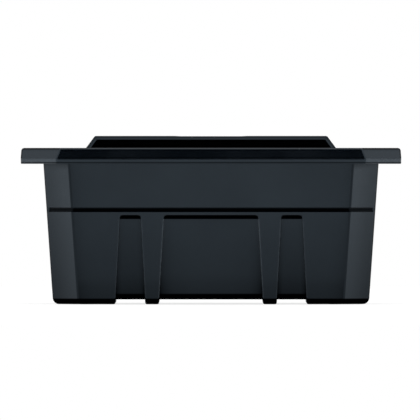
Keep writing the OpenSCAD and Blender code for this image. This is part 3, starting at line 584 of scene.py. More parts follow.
def tubLevels():
    # plan, height, kind and painted shade share of each level from the middle of the floor up the inside,
    # over the rim and down the outside to where the feet start
    t, levels = tub, []
    seam, ease, under = t["seamEase"], t["lipEase"], t["seamZ"] - t["wall"]

    # dull is the share of painted shade at a level
    def add(ring, z, kind=plainKind, dull=0.0):
        levels.append((ring, z, kind, dull))

    # floor and inner wall, with levels close together where the panels slope
    for share in (0.02, 0.5, 0.9):
        add([v * share for v in bodyRing(t["floorZ"], t["wall"] + t["floorRound"])], t["floorZ"])
    for angle in quarter(5):
        z = t["floorZ"] + t["floorRound"] * (1 - math.cos(angle))
        add(bodyRing(z, t["wall"] + t["floorRound"] * (1 - math.sin(angle))), z, innerKind)
    for z in np.concatenate([spread(14.0, (90.0, 7)), spread(92.0, (103.0, 14)), spread(106.0, (160.5, 5))]):
        add(bodyRing(z, t["wall"]), z, innerKind)

    # flange: its top, the eased seam, the lip's face with a line of painted shade, and its underside to the
    # fillet, also painted shade
    add(bodyRing(t["seamZ"], t["wall"] - t["hold"]), t["seamZ"])
    for inset in (t["ledge"], t["seamIn"]):
        add(rimRing(inset), t["seamZ"])
    for angle in quarter(3):
        add(rimRing(seam * (1 - math.sin(angle))), t["seamZ"] - seam * (1 - math.cos(angle)))
    line = t["lipLine"]
    for share, dull in ((0.3, 0.0), (0.64, 0.0), (0.69, line), (0.77, line), (0.82, t["lipShade"])):
        z = t["seamZ"] + (t["lipZ"] - t["seamZ"]) * share
        add(rimRing(t["lipLean"] * share), z, dull=dull)
    for angle in quarter(4):
        z = t["lipZ"] + ease * (1 - math.sin(angle))
        add(rimRing(t["lipLean"] + ease * (1 - math.cos(angle))), z, dull=t["lipShade"])
    for angle in quarter(4):
        z = t["lipZ"] + seam * (1 - math.cos(angle))
        add(rimRing(t["wall"] - seam * math.cos(angle)), z, dull=line)
    for inset in (t["wall"] + t["hold"], t["ledgeUnder"]):
        add(rimRing(inset), under, dull=line)
    for angle in quarter(4):
        z = under - t["fillet"] * (1 - math.cos(angle))
        add(bodyRing(z, -t["fillet"] * (1 - math.sin(angle))), z, dull=line)

    # outer wall, with levels close together at the groove and where the panels slope
    grooveShares = np.array([1.5, 1.12, 1.04, 0.98, 0.9, 0.78, 0.62, 0.42, 0.2])
    above = t["grooveZ"] + t["grooveH"] / 2 * grooveShares
    below = 2 * t["grooveZ"] - above[::-1]
    upper = [under - 3.4, under - 6.0, under - 10.0, 130.0, 114.0, 109.6]
    lower = spread(100.4, (92.0, 21), (t["straightZ"], 2))
    for z in np.concatenate([upper, above, [t["grooveZ"]], below, lower]):
        add(bodyRing(z, 0.0), z, outerKind)
    return levels


def tubSides():
    # the levels as rows of one grid whose columns follow the panels' edges, down to the bottom edge: its x, y
    # and z, the height at which each column ends, and what the finish needs to know of the grid
    t = tub
    topX, lowX = frontStations()
    endShares = spread(0.0, (0.006, 1), (0.017, 1), (0.027, 4), (0.06, 1), (0.94, 8), (0.973, 1), (0.983, 4),
                       (0.994, 1), (1.0, 1))
    facetShares = spread(0.0, (0.02, 1), (0.5, 2), (0.86, 2), (0.98, 9), (1.0, 1))

    def stationShares(z, ring):
        # the stations at height z as shares of the front's straight half
        x = topX + (lowX - topX) * panelMix(z)
        share = np.clip(x / (ring[0] - ring[2] - ring[3] * arcCut), -1, 1)
        return np.pad(share, ((0, 0), (1, 1)), constant_values=((0, 0), (-1, 1)))

    def plan(ring, fronts):
        return planRings(ring, fronts, endShares, facetShares, t["arcSteps"])

    def single(z):
        # the body's plan at one height
        return [np.atleast_2d(v) for v in bodyRing(z, 0.0)]

    levels = tubLevels()
    ring = [np.array([level[0][i] for level in levels], float)[:, None] for i in range(4)]
    height, kind, shadeMatt = (np.array([level[i] for level in levels], float)[:, None] for i in (1, 2, 3))
    onLip = (ring[0] > t["bodyW"]) & (height > t["lipZ"] + t["lipEase"]) & (height < t["seamZ"])
    lipZ, footZ = np.array([[t["lipZ"]]]), np.array([[t["bottomZ"] + t["footCut"]]])
    plainFronts = stationShares(lipZ, single(lipZ))
    x, y, normal = plan(ring, np.where(kind == plainKind, plainFronts, stationShares(height, ring)))
    z = np.broadcast_to(height, x.shape)
    facing = np.abs(normal[:, 1]) > square

    # below them every column runs down to its own foot or channel height, then round the bottom edge
    footX, footY, _ = plan(single(footZ), stationShares(footZ, single(footZ)))
    rise = t["channelZ"] - t["bottomZ"]
    low = np.where(facing, edgeStep(panelInside(footX[0], footZ[0]), t["footEase"], rise), 0.0)
    fromEnd = np.abs(footY[0]) - t["footY"]
    low = np.maximum(low, rise * (1 - smooth(fromEnd, *t["footFade"]))) + t["bottomZ"]
    down, curve = spread(0.0, (0.02, 1), (1.0, 7))[1:, None], quarter(8)[1:, None]
    lowZ = np.concatenate([t["straightZ"] + (low + t["round"] - t["straightZ"]) * down,
                           low + t["round"] * (1 - np.sin(curve))])
    tucked = np.concatenate([np.zeros((len(down), 1)), 1 - np.cos(curve)])
    tighter = t["endRound"] + (1 - t["endRound"]) * smooth(np.abs(normal[:, 1]), 0.0, 0.7)
    lowRing = [np.broadcast_to(v, lowZ.shape) for v in bodyRing(lowZ, t["round"] * tucked * tighter)]
    first = len(endShares) + len(facetShares) + 2 * t["arcSteps"] + 1
    rear = slice(first, first + len(topX))
    edgeX, edgeY, _ = plan(lowRing, stationShares(lowZ[:, rear], [v[:, rear] for v in lowRing]))
    x, y, z = (np.concatenate(pair) for pair in ((x, edgeX), (y, edgeY), (z, lowZ)))
    kind, shadeMatt, onLip = (np.pad(v, ((0, len(lowZ)), (0, 0)), constant_values=fill)
                         for v, fill in ((kind, outerKind), (shadeMatt, 0.0), (onLip, False)))
    tucked = np.concatenate([np.zeros((len(levels), 1)), tucked])

    # panels sink the front and rear, inside and out; the groove runs round the front, rear and facets
    outer = kind == outerKind
    depth = np.where(outer, panelDepth(x, z), 0.0)
    depth = np.where(kind == innerKind, panelDepth(x, z, t["wall"]), depth) * facing
    groove = np.clip(1 - ((z - t["grooveZ"]) / (t["grooveH"] / 2)) ** 2, 0, 1) ** 0.5
    reach = bodyRing(t["grooveZ"], t["grooveEnd"])[0]
    offEnds = np.abs(normal[:, 1]) > t["grooveTurn"]
    groove = groove * smooth(reach - np.abs(x), *t["grooveFade"]) * offEnds * outer
    sunk = depth + t["grooveDeep"] * groove
    x, y = x - normal[:, 0] * sunk, y - normal[:, 1] * sunk
    return x, y, z, low, {"facing": facing, "turn": np.abs(normal[:, 0]), "outer": outer, "groove": groove,
                          "shadeMatt": shadeMatt, "onLip": onLip, "tucked": tucked}


def tubFinish(x, z, grid):
    # shares of worn tone and of painted shade at the grid's points. Panel edges and the lip's facets take the
    # worn tone, which also stands in as a painted highlight; the groove, panel tops, bottom edge, facet
    # edges, the wall under the rim and the panels' sides take painted shade, and so do the walls, more
    # towards the floor
    t, facing, turn, outer = tub, grid["facing"], grid["turn"], grid["outer"]
    slanted = (turn > 1 - square) & (turn < square)
    flat = (turn > facet[0]) & (turn < facet[1])
    inside = panelInside(x, z)
    slopeFoot = t["panelTop"] - t["panelSlope"]
    # painted highlight lines along the panels' edges
    rib = np.exp(-((inside + t["ribAt"]) / t["ribWide"]) ** 2) * facing * outer * (z < slopeFoot)
    rib = rib * np.where(np.abs(x) < t["ribX"], t["ribSheen"][1], t["ribSheen"][0])
    edge = np.maximum(rib, t["lipWornSheen"] * grid["onLip"] * flat)

    brow = facing * smooth(inside, *t["browIn"]) * smooth(z - slopeFoot, *t["browZ"])
    tuck = smooth(grid["tucked"], *t["tuck"])
    line = t["edgeLine"] * (slanted & (turn < facet[0])) + t["endLine"] * (slanted & (turn > facet[1]))
    shade = t["shade"] * slanted * smooth(z - t["lipZ"], *t["shadeZ"])
    nook = t["nook"] * facing * (inside > t["nookIn"]) * np.exp(-inside / t["nookWide"])
    nook = nook * (t["nookLean"] - z / t["panelTop"])
    # painted shade darkening the walls towards the floor: on the front, on the facets, at the front's foot
    # and beside the facets
    fall = np.clip(1 - z / t["lipZ"], 0, 1)
    pastFront = np.abs(x) - (t["bodyW"] - t["leg"] - fall * t["lipZ"] * t["draft"])
    away = flat * smooth(pastFront, 0.0, t["leg"])
    lower = np.clip(fall, *t["shadeSpan"]) - t["shadeSpan"][0]
    front, facetIn, facetOut = (t[key][0] + t[key][1] * lower
                                for key in ("frontShade", "facetShade", "facetEndShade"))
    foot = t["footShade"] * smooth(fall, *t["footSpan"])
    beside = t["besideShade"] * np.exp(-np.abs(pastFront) / t["besideWide"])
    dull = flat * facetIn + away * facetOut + facing * (front + foot + beside)
    grooved = grid["groove"] ** 0.5 * np.where(slanted, t["facetGroove"], 1.0)
    hollow = np.maximum.reduce(np.broadcast_arrays(grooved, brow, tuck, line, shade, nook + dull)) * outer
    return edge, np.maximum(hollow, grid["shadeMatt"])


def tubUnderside(edgeX, edgeY, low):
    # rows from the bottom edge across each foot to its inner edge, up to the channel height, in to the middle
    t = tub
    across = np.array([0.08, 0.5, 0.93, 0.985, 1.0, 1.01, 1.03])[:, None]
    climb = np.array([0.0, 0.0, 0.0, 0.15, 0.5, 0.9, 1.0])[:, None]
    inwards = np.array([0.9, 0.4, 0.02])[:, None]
    inY = np.sign(edgeY) * np.minimum(np.abs(edgeY), t["footY"])
    x = edgeX * (1 - t["footTaper"] * across * smooth(np.abs(edgeX), *t["footTaperX"]))
    y = (edgeY + (inY - edgeY) * across) * (1 - t["footTaperY"] * across)
    z = low + (t["channelZ"] - low) * climb
    middle = (x[-1] * inwards, y[-1] * inwards, np.full((len(inwards), len(low)), t["channelZ"]))
    return [np.concatenate(pair) for pair in zip((x, y, z), middle)]


def makeTub():
    # one skin from the middle of the floor to the middle of the underside, and a boss for the drain
    t = tub
    x, y, z, low, grid = tubSides()
    edge, hollow = tubFinish(x, z, grid)
    under = tubUnderside(x[-1], y[-1], low)
    points = np.stack([np.concatenate(pair) for pair in zip((x, y, z), under)], -1)
    rows, cols = points.shape[:2]
    ease, r = t["bossEase"], t["bossR"]
    boss = lathe([(0.0, t["bossBack"]), (r - ease, t["bossBack"]), (r, t["bossBack"] + ease),
                  (r, t["bossFace"] - ease), (r - ease, t["bossFace"]), (0.0, t["bossFace"])],
                 48, (0.0, 0.0, t["bossZ"]))
    plain = np.zeros(under[0].size + len(boss[0]))
    marks = {"edge": np.append(edge, plain), "hollow": np.append(hollow, plain)}
    skin = (points.reshape(-1, 3), gridFaces(rows, cols), endCaps(rows, cols))
    putPiece("tub_shell", [skin, boss], shellMat, "base", "tub", marks)


makeTub()


# rim frame

rim = {"lean": 0.6, "gain": 3.0, "bendLoss": 0.6, "leastBend": 2.0,    # its facets widen as it leans in
       "mouthW": 182.0, "mouthD": 122.0, "mouthLeg": 25.74, "mouthBend": 4.0, "bendGain": 0.4,
       "topZ": 172.5, "round": 3.5, "ease": 0.25, "inner": 1.2, "ledge": 14.0, "arcSteps": 8,
       "hold": 0.4, "mouthFoot": 0.2, "seamIn": 1.4,
       "underRise": (0.15, 0.1, 0.05),        # the underside's height over the seam at its three rows
       # a worn top edge that also carries a painted highlight
       "wornSheen": 0.06, "wornSheenAt": 1.0, "wornSheenWide": 1.2,
       "frontTurn": 0.3, "facetTurn": 0.6,    # shares of a normal along x where the front ends, facets start
       # painted shade: along the top, at the ends, on the front band and along the seam
       "topLine": 0.75, "topSpan": (0.2, 0.6), "crest": (0.92, 0.96), "endLine": 0.7, "frontShade": 0.16,
       "seamLine": 0.9, "seamSpan": (0.5, 1.4)}


def makeRim():
    # a closed section of levels carried round the eight-sided plan: up the outside, over the top, down the
    # mouth and back along the seam
    r, t, rows = rim, tub, []
    seamZ, topZ, ease = t["seamZ"], r["topZ"], r["ease"]
    highest = topZ - r["round"]

    def outer(inset, z, gain=0.0):
        rows.append((t["rimW"] - inset, t["rimD"] - inset, t["rimLeg"] + gain - legGain * inset,
                     max(t["rimBend"] - inset * r["bendLoss"], r["leastBend"]), z))

    def mouth(out, z):
        rows.append((r["mouthW"] + out, r["mouthD"] + out, r["mouthLeg"] + legGain * out,
                     r["mouthBend"] + out * r["bendGain"], z))

    for angle in quarter(3):
        outer(ease * (1 - math.sin(angle)), seamZ + ease * (1 - math.cos(angle)))
    for share in spread(0.04, (0.10, 1), (0.94, 5)):
        outer(r["lean"] * share, seamZ + ease + (highest - seamZ - ease) * share, r["gain"] * share)
    for angle in quarter(8):
        z = highest + r["round"] * math.sin(angle)
        outer(r["lean"] + r["round"] * (1 - math.cos(angle)), z, r["gain"])
    rounded = len(rows)
    outer(r["lean"] + r["round"] + r["hold"], topZ, r["gain"])
    outer(r["ledge"], topZ, r["gain"])
    mouth(r["inner"] + r["hold"], topZ)
    for angle in quarter(5):
        mouth(r["inner"] * (1 - math.sin(angle)), topZ - r["inner"] * (1 - math.cos(angle)))
    mouth(0.0, topZ - r["inner"] - r["hold"])
    mouth(0.0, seamZ + r["hold"])
    inside, middle, outside = r["underRise"]
    mouth(r["mouthFoot"], seamZ + inside)
    outer(r["ledge"], seamZ + middle)
    outer(r["seamIn"], seamZ + outside)

    *ring, height = np.array(rows).T
    shares = spread(-1.0, (-0.99, 1), (-0.95, 1), (0.95, 10), (0.99, 1), (1.0, 1))
    facetShares = spread(0.0, (0.02, 1), (0.1, 1), (0.9, 3), (0.98, 1), (1.0, 1))
    x, y, normal = planRings(ring, shares, 0.5 + 0.5 * shares, facetShares, r["arcSteps"])
    z = np.broadcast_to(height[:, None], x.shape)

    # marks: a worn top edge that also carries a painted highlight, and painted shade lines at the ends, along
    # the top, on the front band and along the seam
    turn = np.abs(normal[:, 0])
    onFront = turn < r["frontTurn"]
    edge = r["wornSheen"] * np.exp(-((z - topZ + r["wornSheenAt"]) / r["wornSheenWide"]) ** 2)
    up = (z - highest) / r["round"]
    topLine = smooth(up, *r["topSpan"]) * (turn > r["facetTurn"]) * r["topLine"]
    topLine = np.maximum(topLine, smooth(up, *r["crest"]))
    lines = r["endLine"] * ((turn > facet[1]) & (turn < square)) + r["frontShade"] * onFront
    hollow = np.maximum(topLine, lines)
    hollow[rounded:] = 0.0
    seamLine = r["seamLine"] * (1 - smooth(z - seamZ, *r["seamSpan"])) * onFront
    marks = {"edge": edge.ravel(), "hollow": np.maximum(hollow, seamLine).ravel()}
    points = np.stack([x, y, z], -1).reshape(-1, 3)
    band = (points, gridFaces(*x.shape, loop=True), [])
    putPiece("rim_band", [band], shellMat, "base", "rim_frame", marks)


makeRim()


# splash hood

hood = {"front": 103.0, "back": 130.0, "low": 172.7, "top": 186.0, "halfLow": 139.2, "halfTop": 129.3,
        "rear": 9.0, "corner": 3.0, "leastCorner": 1.0, "leastHigh": 0.8, "wall": 4.8,
        # the lip's and the inside's shares below are painted shade
        "lipDeep": 3.2, "lipHigh": 4.1, "lipBow": 0.5, "lipShade": 0.42, "insideShade": 0.85,
        "skinFrom": 8.5, "hold": 0.3, "insideFrom": 1.6, "insideHold": 0.5,
        "dip": (33.0, 41.0), "dipDeep": 0.3,        # half widths of the dip's bed and of its mouth
        "hingeX": 80.0, "hingeY": 135.4, "hingeZ": 179.9,
        "knuckle": 4.5, "knuckleW": 11.0, "armT": 5.0, "armRoot": 2.0, "armMiddle": 1.5,
        "armEase": ((0.6, 0.0), (0.2, 0.2), (0.0, 0.6))}


def hoodSections(y, inset):
    # outlines of the hood across x, a row for each depth y, taken in by its inset: up one leaning end, round
    # the corner, over the top and down the other end. The top curves down over the rear radius at the back
    h = hood
    y, inset = y[:, None], inset[:, None]
    slant = (h["halfLow"] - h["halfTop"]) / (h["top"] - h["low"])
    along = math.hypot(slant, 1.0)
    lean, turn = math.atan2(slant, 1.0), math.atan2(1.0, slant)
    rear, back = h["rear"] - inset, h["back"] - inset
    past = np.clip(y - (back - rear), 0, rear)
    topZ = h["top"] - inset - rear + np.sqrt(np.clip(rear ** 2 - past ** 2, 0, None))
    topZ = np.maximum(topZ, h["low"] + h["leastHigh"])
    foot = h["halfLow"] - inset * along
    halfTop = foot - slant * (topZ - h["low"])
    bend = np.maximum(h["corner"] - inset * 0.5, h["leastCorner"])
    bend = np.minimum(bend, (topZ - h["low"]) * 0.8)
    reach = bend * math.tan(turn / 2)
    endX, endZ = halfTop + reach * slant / along, topZ - reach / along
    up = spread(0.0, (0.04, 1), (0.5, 2), (1.0, 3))
    arc = lean + np.linspace(0, turn, 8)[1:-1]
    flat = spread(1.0, (0.97, 1), (0.40, 6), (0.34, 1), (0.18, 10), (0.0, 4))
    x = np.concatenate([foot + (endX - foot) * up, halfTop - reach + bend * np.cos(arc),
                        (halfTop - reach) * flat], 1)
    z = np.concatenate([h["low"] + (endZ - h["low"]) * up, topZ - bend + bend * np.sin(arc),
                        np.repeat(topZ, len(flat), 1)], 1)
    return np.concatenate([x, -x[:, -2::-1]], 1), np.concatenate([z, z[:, -2::-1]], 1)


def hoodArm(centre):
    # one hinge arm: a bar that ends in a round eye, its outline in y and z carried along x with eased edges
    h = hood
    half, reach, root = h["armT"] / 2, h["knuckleW"] / 2, h["back"] - h["armRoot"]
    start = math.asin(half / h["knuckle"])
    angle = np.linspace(math.pi - start, start - math.pi, 28)
    eye = np.column_stack([h["hingeY"] + h["knuckle"] * np.cos(angle),
                           h["hingeZ"] + h["knuckle"] * np.sin(angle)])
    bar = np.concatenate([[[root, h["hingeZ"] + half]], eye, [[root, h["hingeZ"] - half]]])
    toward = np.array([h["hingeY"] - h["armMiddle"], h["hingeZ"]]) - bar
    toward = toward / np.hypot(*toward.T)[:, None]
    levels = easedEnds(centre - reach, centre + reach, h["armEase"])
    return easedPlate(lambda inset: bar + toward * inset, levels, 0)


def makeHood():
    # sections from the back of the outer skin to its front, round the bevelled lip, back along the inner skin
    h = hood
    front, bow = h["front"], h["back"] - h["rear"]
    sweep = np.linspace(math.pi / 2, 0, 13)
    outerY = np.concatenate([bow + h["rear"] * np.sin(sweep),
                             spread(front + h["skinFrom"], (front + h["lipDeep"] + h["hold"], 5))])
    share = np.array([0.0, 0.05, 0.16, 0.5, 0.84, 0.95, 1.0])
    lipY = front + h["lipDeep"] * (1 - share)
    lipIn = h["lipHigh"] * share - h["lipBow"] * share * (1 - share)
    turnY = front + np.array([0.05, 0.3, 0.7])
    turnIn = [h["lipHigh"] + 0.2, h["wall"] - 0.15, h["wall"]]
    innerY = np.concatenate([spread(front + h["insideFrom"], (bow - h["insideHold"], 4)),
                             bow + (h["rear"] - h["wall"]) * np.sin(sweep[::-1])])
    y = np.concatenate([outerY, lipY, turnY, innerY])
    inset = np.concatenate([np.zeros(len(outerY)), lipIn, turnIn, np.full(len(innerY), h["wall"])])
    x, z = hoodSections(y, inset)
    y, inset = np.broadcast_to(y[:, None], x.shape), inset[:, None]
    dip = (1 - smooth(np.abs(x), *h["dip"])) * (inset < h["lipHigh"] / 2) * (z > h["top"] - h["corner"])
    z = z - h["dipDeep"] * dip

    # the bottom edge runs from the outer skin to the inner one, and both backs are closed
    rows, cols = x.shape
    grid = np.arange(rows * cols).reshape(rows, cols)
    outer, inner = np.split(grid, [len(outerY) + len(lipY)])
    bottom = np.concatenate([outer[::-1, 0], outer[:, -1], inner[:, -1], inner[::-1, 0]])
    points = np.stack([x, y, z], -1).reshape(-1, 3)
    skin = (points, gridFaces(rows, cols, ring=False), [grid[0][::-1], grid[-1], bottom])
    arms = [hoodArm(side * h["hingeX"]) for side in (-1, 1)]

    # marks: painted shade inside and on the lip
    lip = h["lipShade"] * (y < front + h["lipDeep"] + 0.1) * (inset < h["lipHigh"] * 0.6)
    hollow = np.maximum(smooth(inset, h["lipHigh"], h["wall"]) * h["insideShade"], lip)
    hollow = np.append(hollow, np.zeros(sum(len(arm[0]) for arm in arms)))
    marks = {"edge": np.zeros(len(hollow)), "hollow": hollow}
    putPiece("splash_hood_shell", [skin] + arms, shellMat, "hood", "splash_hood", marks)


makeHood()


# basket

basket = {"halfW": 153.985, "halfD": 87.5, "post": 8.0, "top": 141.5, "rimLow": 131.5, "postLow": 11.9,
          "floorZ": 13.9, "thick": 1.5, "bend": 1.8, "frameEase": 0.4, "frameCorner": 1.0, "leastBend": 0.6,
          "slot": 4.0, "pitch": 10.0, "border": 11.0, "punch": 0.35,
          "capLow": 8.9, "capHalf": 5.0, "capBend": 2.4, "postFoot": 0.5,
          # (inset, distance from the end) of the caps' feet and tops
          "capFoot": ((1.1, 0.0), (0.4, 0.25), (0.0, 0.9)), "capTop": ((0.0, 0.6), (0.2, 0.2), (0.7, 0.0)),
          "earR": 6.0, "earRoot": 4.0, "earEase": ((0.6, 0.0), (0.2, 0.12), (0.0, 0.55)),
          "pivotX": 128.985, "pivotZ": 144.9}


def slotRow(length, low, high, slotLow, slotHigh, edges):
    # a plate in u and v with a row of round-ended slots. Every slot has a cell of rings: the cell's edge on
    # one face, the slot's eased edge, its wall, and the same on the other face. edges says whether the
    # plate's low and high sides are closed
    b = basket
    count = int((length - 2 * b["border"] - b["slot"]) // b["pitch"]) + 1
    centre = ((np.arange(count) - (count - 1) / 2) * b["pitch"])[:, None]
    bounds = np.concatenate([[-length / 2], (centre[1:, 0] + centre[:-1, 0]) / 2, [length / 2]])
    left, right = bounds[:-1, None], bounds[1:, None]
    turn = np.linspace(0, math.pi, 8)
    half, ease, face = b["slot"] / 2, b["punch"], b["thick"] / 2
    k = len(turn)
    share = np.linspace(0, 1, k)

    def slotRing(grow, depth):
        r = half + grow
        u = np.concatenate([np.cos(turn), -np.cos(turn)]) * r
        v = np.concatenate([slotHigh - half + np.sin(turn) * r, slotLow + half - np.sin(turn) * r])
        return centre + u, np.broadcast_to(v, (count, 2 * k)), depth

    def cellRing(depth):
        u = np.concatenate([right + (left - right) * share, left + (right - left) * share], 1)
        return u, np.broadcast_to(np.repeat([high, low], k), u.shape), depth

    rings = [cellRing(face), slotRing(ease, face), slotRing(0.0, face - ease), slotRing(0.0, ease - face),
             slotRing(ease, -face), cellRing(-face)]
    points = np.stack([np.stack([u, v, np.full(u.shape, w)], -1) for u, v, w in rings], 1)
    rows, cols = len(rings), 2 * k
    base = (np.arange(count) * rows * cols)[:, None, None]
    quads = [(gridFaces(rows, cols)[None] + base).reshape(-1, 4)]

    # the plate's own edges join the first and the last ring of the cells along them
    back = (rows - 1) * cols
    sides = ((edges[1], slice(None), np.arange(k - 1)), (edges[0], slice(None), np.arange(k, 2 * k - 1)),
             (True, slice(0, 1), np.array([k - 1])), (True, slice(-1, None), np.array([2 * k - 1])))
    for closed, cells, at in sides:
        if closed:
            on = (at + 1) % cols
            strip = np.stack([back + at, back + on, on, at], -1)
            quads.append((strip[None] + base[cells]).reshape(-1, 4))
    return points.reshape(-1, 3), np.concatenate(quads)


def merged(parts):
    # shells joined where their points meet
    points = np.concatenate([p for p, _ in parts])
    starts = np.cumsum([0] + [len(p) for p, _ in parts])
    quads = np.concatenate([q + start for (_, q), start in zip(parts, starts)])
    kept, where = np.unique(np.round(points, 4), axis=0, return_inverse=True)
    return kept, where.ravel()[quads], []


def makeBasketSheets(postX, postY):
    # four upright sheets between the posts and a floor of two rows of slots joined along the middle
    b = basket
    clear = b["border"]

    def upright(name, half, axis, spot, steel):
        points, quads = slotRow(2 * half - b["post"], b["floorZ"], b["rimLow"], b["floorZ"] + clear,
                                b["rimLow"] - clear, (True, True))
        along, height, across = points.T
        plan = [along, spot + across] if axis == 0 else [spot + across, along]
        sheet = merged([(np.stack(plan + [height], -1), quads)])
        node = "basket_" + name if axis == 0 else "basket_end_" + name
        putPiece("basket_%s_sheet" % name, [sheet], steel, "basket", node, crease=35)

    upright("front", postX, 0, -postY, steelAlongX)
    upright("rear", postX, 0, postY, steelAlongX)
    upright("left", postY, 1, -postX, steelAlongY)
    upright("right", postY, 1, postX, steelAlongY)

    inX, inY = postX - b["thick"] / 2, postY - b["thick"] / 2
    reach = (inY - clear) / 2
    bands = []
    for side in (-1, 1):
        middle = side * inY / 2
        low, high = sorted((0.0, side * inY))
        points, quads = slotRow(2 * inX, low, high, middle - reach, middle + reach, (side < 0, side > 0))
        bands.append((points + (0.0, 0.0, b["floorZ"] + b["thick"] / 2), quads))
    putPiece("basket_floor_sheet", [merged(bands)], steelAlongX, "basket", "basket_floor", crease=35)


def makeBasketFrame(postX, postY):
    # corner posts with foot caps, and a top frame: a rounded section carried round the plan, with an ear at
    # each bail pivot
    b = basket
    half, cap, ease, edge, deep = b["post"] / 2, b["capHalf"], b["bend"], b["frameEase"], b["post"]
    corners = [(sx * postX, sy * postY) for sx in (-1, 1) for sy in (-1, 1)]
    postLevels = [(b["postFoot"], b["postLow"]), (0.0, b["postLow"] + b["postFoot"]),
                  (0.0, b["rimLow"] - edge), (edge, b["rimLow"])]
    posts = [easedBar(corner, half, half, b["bend"], postLevels) for corner in corners]
    putPiece("basket_corner_posts", posts, steelAlongZ, "basket", "basket_posts", crease=50)
    capLevels = [(inset, b["capLow"] + far) for inset, far in b["capFoot"]]
    capLevels += [(inset, b["postLow"] - far) for inset, far in b["capTop"]]
    caps = [easedBar(corner, cap, cap, b["capBend"], capLevels) for corner in corners]
    putPiece("basket_foot_caps", caps, gripMat, "basket", "basket_feet")

    sin, cos = np.sin(quarter(4)), np.cos(quarter(4))
    inset = np.concatenate([ease - ease * cos, deep - ease + ease * sin, deep - edge + edge * cos,
                            edge - edge * sin])
    z = np.concatenate([b["top"] - ease + ease * sin, b["top"] - ease + ease * cos,
                        b["rimLow"] + edge - edge * sin, b["rimLow"] + edge - edge * cos])
    bend = np.maximum(b["bend"] + b["frameCorner"] - inset, b["leastBend"])
    x, y = roundPlan(b["halfW"] - inset, b["halfD"] - inset, bend)
    ring = np.stack([x, y, np.broadcast_to(z[:, None], x.shape)], -1).reshape(-1, 3)
    shells = [(ring, gridFaces(*x.shape, loop=True), [])]

    def ear(middle):
        # half a disc on a square root, as a function of its inset
        def outline(inset):
            r, angle = b["earR"] - inset, np.linspace(0, math.pi, 19)
            top = np.column_stack([middle + r * np.cos(angle), b["pivotZ"] + r * np.sin(angle)])
            root = b["top"] - b["earRoot"]
            return np.concatenate([top, [[middle - r, root], [middle + r, root]]])
        return outline

    for side in (-1, 1):
        for low in (-b["halfD"], b["halfD"] - deep):
            levels = easedEnds(low, low + deep, b["earEase"])
            shells.append(easedPlate(ear(side * b["pivotX"]), levels, 1))
    putPiece("basket_top_frame", shells, steelAlongX, "basket", "basket_rim", crease=50)


postCentre = (basket["halfW"] - basket["post"] / 2, basket["halfD"] - basket["post"] / 2)
makeBasketSheets(*postCentre)
makeBasketFrame(*postCentre)


# bails

bail = {"r": 3.0, "reach": 85.0, "armY": 91.0, "shoulder": 87.45, "pivotBend": 3.4, "cornerBend": 9.0,
        "stubR": 2.4, "stubEnd": 77.5, "stubEase": 0.5, "clipEase": 0.25,
        "gripR": 8.0, "gripHalf": 50.0, "waist": 6.9, "crest": 7.75, "ribPitch": 5.0, "ribPower": 0.6,
        "ribEnd": 0.9, "ribPoints": 241, "collar": 7.0, "collarRun": 1.2, "bore": 3.05, "boreEase": 0.5,
        "tip": ((0.3, 0.35), (1.0, 0.08), (2.0, 0.0))}    # what the grip's end loses in radius and length


def makeBail(name, side):
    # a wire bent from one pivot stub along its arm, across and back, and a ribbed grip round its crossbar
    w = bail
    pivot, z = side * basket["pivotX"], basket["pivotZ"]
    bar = pivot - side * w["reach"]
    path = bentPath([(pivot, -w["shoulder"], z), (pivot, -w["armY"], z), (bar, -w["armY"], z),
                     (bar, w["armY"], z), (pivot, w["armY"], z), (pivot, w["shoulder"], z)],
                    (w["pivotBend"], w["cornerBend"], w["cornerBend"], w["pivotBend"]))
    stub = np.array([(pivot, w["stubEnd"], z), (pivot, w["stubEnd"] + w["stubEase"], z)])
    path = np.concatenate([stub * (1, -1, 1), path, stub[::-1]])
    radius = np.full(len(path), w["r"])
    radius[[0, -1]] = w["stubR"] - w["stubEase"]
    radius[[1, 2, -2, -3]] = w["stubR"]
    putPiece("bail_%s_wire" % name, [tube(path, radius)], steelAlongX, name + "_bail", "bail_" + name,
             crease=50)

    half, r = w["gripHalf"], w["gripR"]
    y = np.linspace(w["ribEnd"] - half, half - w["ribEnd"], w["ribPoints"])
    rib = np.abs(np.cos(np.pi * y / w["ribPitch"])) ** w["ribPower"]
    ribbed = w["waist"] + (w["crest"] - w["waist"]) * rib
    collar = smooth(np.abs(y) - (half - w["collar"]), 0.0, w["collarRun"])
    body = np.column_stack([ribbed + (r - ribbed) * collar, y])
    tip = [(r - inset, half - back) for inset, back in w["tip"]]
    tip = np.array(tip + [(w["bore"] + w["boreEase"], half)])
    hole = [(w["bore"], half - w["boreEase"]), (w["bore"], w["boreEase"] - half)]
    profile = np.concatenate([tip[::-1] * (1, -1), body, tip, hole])
    grip = lathe(profile, 32, (bar, 0.0, z), closed=True)
    putPiece("bail_%s_ribbed_grip" % name, [grip], gripMat, name + "_bail", "bail_grip_" + name)
    easedNode("bail_clips_" + name, w["clipEase"], name + "_bail", steelAlongY)


makeBail("left", -1)
makeBail("right", 1)


# drain

